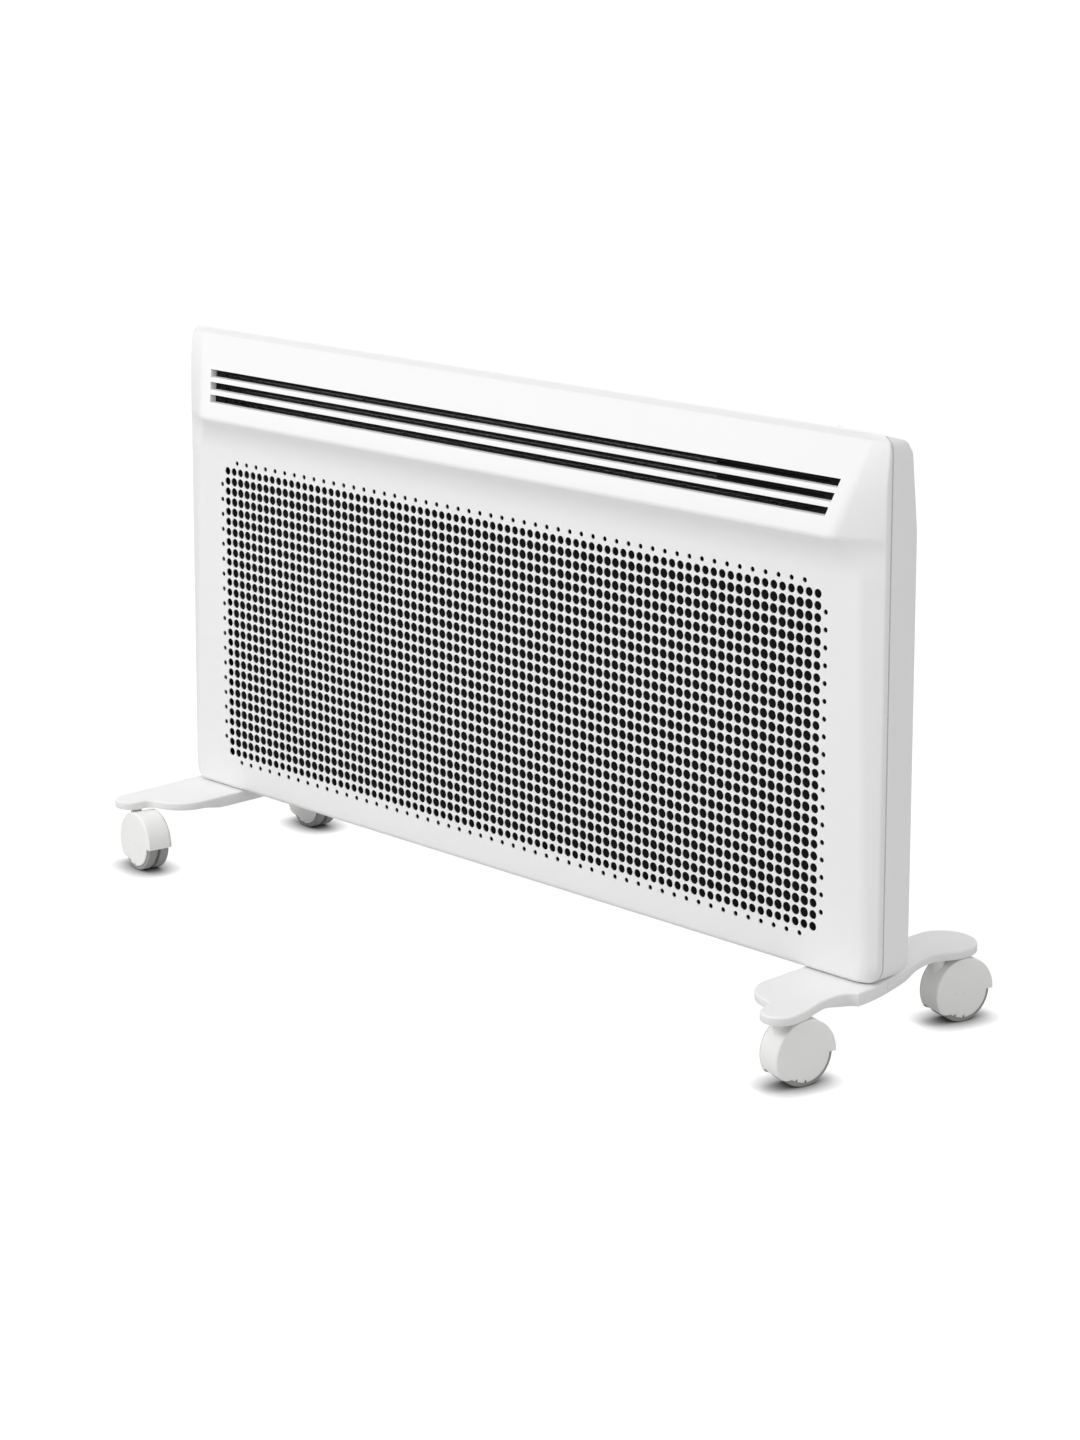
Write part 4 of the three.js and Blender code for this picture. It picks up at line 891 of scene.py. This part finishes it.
def hood(place):
    """A barrel over both wheels, the web and hub plate between them, and the stem's boss."""
    barrel = rounded([
        (-HOOD_HALF, POCKET_RADIUS, 0), (-HOOD_HALF, HOOD_RADIUS, HOOD_EDGE),
        (HOOD_HALF, HOOD_RADIUS, HOOD_EDGE), (HOOD_HALF, POCKET_RADIUS, 0)], steps=4)
    fill = []
    for (x0, r0), (x1, r1) in zip(barrel, barrel[1:]):
        pieces = BARREL_PIECES if abs(x1 - x0) > HOOD_HALF / 2 else 1
        fill += [(mix(x0, x1, k / pieces), mix(r0, r1, k / pieces)) for k in range(pieces)]
    half_way = (HOOD_HALF + WEB_HALF) / 2
    inner = [(HOOD_HALF, POCKET_RADIUS), (half_way, POCKET_RADIUS), (WEB_HALF, POCKET_RADIUS),
             (WEB_HALF, WEB_FROM), (-WEB_HALF, WEB_FROM), (-WEB_HALF, POCKET_RADIUS),
             (-half_way, POCKET_RADIUS)]
    loop = fill + inner
    build = Builder()
    rings = []
    for k in range(HOOD_STEPS + 1):
        section = []
        for x, r in loop:
            wave = HOOD_WAVE * math.sin(math.pi * min(abs(x) / HOOD_HALF, 1)) ** 2
            if abs(x) <= WEB_HALF:
                wave = 0
            section.append(about_axle(x, r, mix(HOOD_FROM, HOOD_TO - wave, k / HOOD_STEPS)))
        rings.append(section)
    build.tube(rings)
    obj = build.make("hood", place)
    hub = rod("hub", turned([
        (-HUB_HALF, HUB_RADIUS - HOOD_EDGE), (-HUB_HALF + HOOD_EDGE, HUB_RADIUS),
        (HUB_HALF - HOOD_EDGE, HUB_RADIUS), (HUB_HALF, HUB_RADIUS - HOOD_EDGE)], 64), place)
    middle = (HOOD_RADIUS + POCKET_RADIUS) / 2

    def foot_of(y):
        return AXLE_HEIGHT + math.sqrt(middle ** 2 - (TRAIL - y) ** 2)

    low = [(x, y, foot_of(y)) for x, y, _ in ring(0, 0, 0, BOSS_RADIUS)]
    boss = rod("boss", [
        low, ring(0, 0, BOSS_TOP - BOSS_EDGE, BOSS_RADIUS),
        ring(0, 0, BOSS_TOP - BOSS_EDGE_MIDDLE, BOSS_RADIUS - BOSS_EDGE_MIDDLE),
        ring(0, 0, BOSS_TOP, BOSS_RADIUS - BOSS_EDGE)], place)
    combine(obj, "UNION", hub, boss)
    hole = STEM_RADIUS + STEM_CLEARANCE
    stem_bore = rod("stem_bore", [ring(0, 0, z, hole, BORE_SIDES)
                                  for z in (STEM_FROM - STEM_CLEARANCE, BOSS_TOP + 1)], place)
    axle_bore = rod("axle_bore", turned([(-HOOD_HALF, AXLE_BORE), (HOOD_HALF, AXLE_BORE)],
                                        BORE_SIDES), place)
    return combine(obj, "DIFFERENCE", stem_bore, axle_bore)


def cover_edge():
    """(angle, radius) round a side cover: wide along the hood, stepped and notched below."""
    edge = [(HOOD_FROM, HOOD_RADIUS)]
    edge += [(mix(HOOD_FROM, HOOD_TO, k / 90), HOOD_RADIUS) for k in range(1, 91)]
    fall = HOOD_TO + COVER_FALL
    edge += [(mix(HOOD_TO, fall, k / 6), mix(HOOD_RADIUS, COVER_LOW_RADIUS, (k / 6) ** 1.4))
             for k in range(1, 7)]
    for after in NOTCH_ANGLES:
        edge += [(HOOD_TO + after + NOTCH_HALF_ANGLE * s,
                  COVER_LOW_RADIUS - COVER_NOTCH * (1 - s * s)) for s in NOTCH_STEPS]
    low = HOOD_TO + LOW_FROM
    edge += [(mix(low, CIRCLE + HOOD_FROM, k / 30), COVER_LOW_RADIUS) for k in range(31)]
    return edge


def side_cover(way, place):
    """A thin disc, softly crowned, with a rounded rim and two small moulding marks."""
    build = Builder()
    edge = cover_edge()
    back = COVER_NEAR
    face = COVER_NEAR + COVER_THICKNESS - COVER_INSET
    steps = [(back, 0.0), (face - COVER_ROUND, 0.0)]
    steps += [(face - COVER_ROUND * (1 - math.sin(a)), COVER_ROUND * (1 - math.cos(a)))
              for a in (math.pi / 2 * k / 5 for k in range(1, 6))]
    rings = [[about_axle(way * (x - COVER_CROWN), r - off, angle) for angle, r in edge]
             for x, off in steps]
    rings[0] = [about_axle(way * back, r, angle) for angle, r in edge]
    for share in CROWN_SHARES:
        crown = face - COVER_CROWN * share * share
        rings.append([about_axle(way * crown, (r - COVER_ROUND) * share, angle)
                      for angle, r in edge])
    build.tube(rings)
    x0, x1 = sorted((way * (face - MARK_HEIGHT), way * (face + MARK_HEIGHT)))
    for y, half in MARKS:
        box(build, (x0, TRAIL + y - half, AXLE_HEIGHT - half),
            (x1, TRAIL + y + half, AXLE_HEIGHT + half))
    return build.make("side_cover", place)


def wheel(way, place):
    """A wheel with a rounded tread and a dished inner face."""
    near, far = TREAD_GAP / 2, WHEEL_OUTER_X
    dish = near + DISH_DEPTH
    inside = TREAD_RADIUS - RIM_DEPTH
    profile = rounded([
        (near, inside, 0.5), (near, TREAD_RADIUS, 1.4), (far, TREAD_RADIUS, 1.4),
        (far, inside, 0.6), (far - 1.0, inside - 1.5, 0.6), (far - 1.0, AXLE_BORE, 0),
        (dish, AXLE_BORE, 0), (dish, inside - 1.5, 0.8)], steps=5, closed=True)
    rings = turned([(way * x, r) for x, r in profile], 96)
    build = Builder()
    build.tube(rings + [rings[0]], caps=False)
    return build.make("wheel", place)


def castors():
    for corner, (x, y, swivel) in CASTORS.items():
        place = Matrix.Translation((x, y, 0)) @ Matrix.Rotation(math.radians(swivel), 4, "Z")
        name = f"castor_{corner}"
        body = hood(place)
        body.name = f"{name}_hood_moulding"
        settle(body, name, "castor_plastic", CASTOR_PLASTIC, f"{name}_hood")
        stem = rod(f"{name}_stem_rod", [
            ring(0, 0, STEM_FROM, STEM_RADIUS - 0.3), ring(0, 0, STEM_FROM + 0.3, STEM_RADIUS),
            ring(0, 0, STEM_TO - 0.4, STEM_RADIUS), ring(0, 0, STEM_TO, STEM_RADIUS - 0.4)
        ], place)
        settle(stem, "heater", "steel", STEEL, f"{name}_stem")
        axle = rod(f"{name}_axle_rod", turned([
            (-WHEEL_OUTER_X, 2.0), (-WHEEL_OUTER_X + 0.3, 2.3),
            (WHEEL_OUTER_X - 0.3, 2.3), (WHEEL_OUTER_X, 2.0)], BORE_SIDES), place)
        settle(axle, name, "steel", STEEL, f"{name}_axle")
        for way, side in ((1, "outer"), (-1, "inner")):
            cover = side_cover(way, place)
            cover.name = f"{name}_cover_{side}_moulding"
            settle(cover, name, "castor_plastic", CASTOR_PLASTIC, f"{name}_cover_{side}")
            tread = wheel(way, place)
            tread.name = f"{name}_wheel_{side}_tread"
            settle(tread, f"wheel_{corner}_{side}", "grey_wheel", WHEEL_PLASTIC,
                   f"{name}_wheel_{side}")


# ---- Small pieces with softened edges --------------------------------------------------

SOFT_WELD = 0.01
FLAT_ANGLE, EDGE_ANGLE = 2, 35
EDGE_SEGMENTS = 3


def softened(name, body, slot, material, width, lower=0.0):
    """A copy of a solid with its edges rounded off, to stand for it; its cap may sit lower."""
    source = nodes[name]
    mesh = source.data.copy()
    mesh.transform(source.matrix_world)
    bm = bmesh.new()
    bm.from_mesh(mesh)
    strip = control_place()
    up = strip.to_3x3() @ Vector((0, 0, 1))
    for vert in bm.verts:
        if lower and (vert.co / MM - strip.translation) @ up > CAP_FROM:
            vert.co -= up * lower * MM
    bmesh.ops.remove_doubles(bm, verts=bm.verts, dist=SOFT_WELD * MM)
    bmesh.ops.dissolve_limit(bm, angle_limit=math.radians(FLAT_ANGLE), verts=bm.verts,
                             edges=bm.edges)
    for face in bm.faces:
        face.smooth = True
    bm.to_mesh(mesh)
    bm.free()
    obj = bpy.data.objects.new(name + "_soft", mesh)
    bpy.context.scene.collection.objects.link(obj)
    step = obj.modifiers.new("edges", "BEVEL")
    step.width = width * MM
    step.segments = EDGE_SEGMENTS
    step.limit_method = "ANGLE"
    step.angle_limit = math.radians(EDGE_ANGLE)
    step.use_clamp_overlap = True
    apply_modifiers(obj)
    settle(obj, body, slot, material, name)


# ---- Light, floor and camera -----------------------------------------------------------

WHITE = (1, 1, 1, 1)
AMBIENT = 0.54
FLOOR_REACH = 40000.0
FLOOR_BOUNCE = (0.66, 0.66, 0.66, 1)
FLOOR_SEEN = (0.1, 0.1, 0.1, 1)
FLOOR_WHITE = 0.99
CONTACT_REACH, CONTACT_DEPTH = 0.019, 2.0  # how far, in metres, and how steeply it darkens
CAMERA_PLACE = (1.9069, -1.8552, 0.8978)
CAMERA_TURN = (79.74, -0.05, 45.43)
CAMERA_LENS, CAMERA_SENSOR, CAMERA_SHIFT = 82.05, 36.0, -0.1875
# name, place, what it points at, diameter and watts
LIGHTS = (
    ("key", (-1.1, -3.0, 2.7), (0, 0, 0.25), 2.2, 71),
    ("top", (0.3, -0.3, 3.2), (0, 0, 0.2), 2.4, 22),
    ("side", (3.2, 1.3, 0.9), (0.4, 0, 0.2), 1.6, 9),
)


def area_light(name, place, target, size, power):
    data = bpy.data.lights.new(name, "AREA")
    data.shape = "DISK"
    data.size = size
    data.energy = power
    obj = bpy.data.objects.new(name, data)
    obj.location = place
    obj.rotation_euler = (Vector(target) - Vector(place)).to_track_quat("-Z", "Y").to_euler()
    bpy.context.scene.collection.objects.link(obj)


def world_light():
    """An even light all round, which is white where it is seen or mirrored."""
    world = bpy.data.worlds.new("studio")
    bpy.context.scene.world = world
    world.use_nodes = True
    tree = world.node_tree
    tree.nodes.clear()
    path = node(tree, "ShaderNodeLightPath")
    seen = node(tree, "ShaderNodeMath", operation="MAXIMUM")
    both = node(tree, "ShaderNodeMath", operation="MAXIMUM")
    ambient = node(tree, "ShaderNodeBackground", {"Color": WHITE, "Strength": AMBIENT})
    white = node(tree, "ShaderNodeBackground", {"Color": WHITE, "Strength": 1.0})
    chosen = node(tree, "ShaderNodeMixShader")
    out = node(tree, "ShaderNodeOutputWorld")
    tree.links.new(path.outputs["Is Camera Ray"], seen.inputs[0])
    tree.links.new(path.outputs["Is Glossy Ray"], seen.inputs[1])
    tree.links.new(seen.outputs[0], both.inputs[0])
    tree.links.new(path.outputs["Is Transmission Ray"], both.inputs[1])
    tree.links.new(both.outputs[0], chosen.inputs["Fac"])
    tree.links.new(ambient.outputs[0], chosen.inputs[1])
    tree.links.new(white.outputs[0], chosen.inputs[2])
    tree.links.new(chosen.outputs[0], out.inputs["Surface"])


def floor():
    """A pale floor, seen as white but for the contact shadows."""
    build = Builder()
    build.face(*build.add([(x * FLOOR_REACH, y * FLOOR_REACH, 0)
                           for x, y in ((-1, -1), (1, -1), (1, 1), (-1, 1))]))
    obj = build.make("floor")
    mat = bpy.data.materials.new("pale_floor")
    mat.use_nodes = True
    tree = mat.node_tree
    tree.nodes.clear()
    path = node(tree, "ShaderNodeLightPath")
    plain = node(tree, "ShaderNodeBsdfDiffuse", {"Color": FLOOR_BOUNCE})
    shaded = node(tree, "ShaderNodeBsdfDiffuse", {"Color": FLOOR_SEEN})
    contact = node(tree, "ShaderNodeAmbientOcclusion", {"Distance": CONTACT_REACH}, samples=16)
    deepened = node(tree, "ShaderNodeMath", {1: CONTACT_DEPTH}, operation="POWER")
    level = node(tree, "ShaderNodeMath", {1: FLOOR_WHITE}, operation="MULTIPLY")
    lift = node(tree, "ShaderNodeEmission", {"Color": WHITE})
    tree.links.new(contact.outputs["AO"], deepened.inputs[0])
    tree.links.new(deepened.outputs[0], level.inputs[0])
    tree.links.new(level.outputs[0], lift.inputs["Strength"])
    seen = node(tree, "ShaderNodeAddShader")
    chosen = node(tree, "ShaderNodeMixShader")
    out = node(tree, "ShaderNodeOutputMaterial")
    tree.links.new(shaded.outputs[0], seen.inputs[0])
    tree.links.new(lift.outputs[0], seen.inputs[1])
    tree.links.new(path.outputs["Is Camera Ray"], chosen.inputs["Fac"])
    tree.links.new(plain.outputs[0], chosen.inputs[1])
    tree.links.new(seen.outputs[0], chosen.inputs[2])
    tree.links.new(chosen.outputs[0], out.inputs["Surface"])
    obj.data.materials.append(mat)


def camera():
    data = bpy.data.cameras.new("camera")
    data.sensor_fit = "VERTICAL"
    data.sensor_height = CAMERA_SENSOR
    data.lens = CAMERA_LENS
    data.shift_y = CAMERA_SHIFT
    data.clip_end = 100
    obj = bpy.data.objects.new("camera", data)
    obj.location = CAMERA_PLACE
    obj.rotation_euler = [math.radians(a) for a in CAMERA_TURN]
    bpy.context.scene.collection.objects.link(obj)
    bpy.context.scene.camera = obj


# ---- Materials of the solids' own nodes ------------------------------------------------

NODE_MATERIALS = {
    "louvre_insert": BLACK_ENAMEL, "radiant_panel": BLACK_ENAMEL, "heat_shield": ALUMINIUM,
    "heating_element": ALUMINIUM, "element_bracket": STEEL, "overheat_cutout": CERAMIC,
    "terminal_block": CERAMIC, "tilt_switch": BLACK_PLASTIC, "cord_gland": BLACK_PLASTIC,
    "control_panel": MOULDING, "control_box": BLACK_PLASTIC, "display_window": GLASS,
    "button": MOULDING, "power_rocker": BLACK_PLASTIC, "foot_screw": STEEL, "foot": MOULDING,
    "castor": CASTOR_PLASTIC, "front_cover": PAINT, "rear_housing": HOUSING_PAINT,
}


def dress_nodes():
    """Gives every solid the material of the longest name that its own name starts with."""
    for name, obj in nodes.items():
        key = max((k for k in NODE_MATERIALS if name.startswith(k)), key=len)
        mat = NODE_MATERIALS[key]
        if name.endswith(("_stem", "_axle")):
            mat = STEEL
        if "_wheel_" in name:
            mat = WHEEL_PLASTIC
        obj.data.materials.clear()
        obj.data.materials.append(mat)


dress_nodes()
front_cover()
rear_housing()
for side in (-1, 1):
    foot(side)
castors()
softened("control_panel", "heater", "white_moulding", MOULDING, 0.35)
softened("display_window", "heater", "black_plastic", GLASS, 0.3)
softened("power_rocker", "rocker", "black_plastic", BLACK_PLASTIC, 0.3, CAP_LOWER)
for number in range(1, 5):
    softened(f"button_{number}", f"button_{number}", "white_moulding", MOULDING, 0.4, CAP_LOWER)
softened("cord_gland", "heater", "black_plastic", BLACK_PLASTIC, 0.4)

bpy.context.scene.view_settings.view_transform = "Standard"
floor()
camera()
world_light()
for light in LIGHTS:
    area_light(*light)
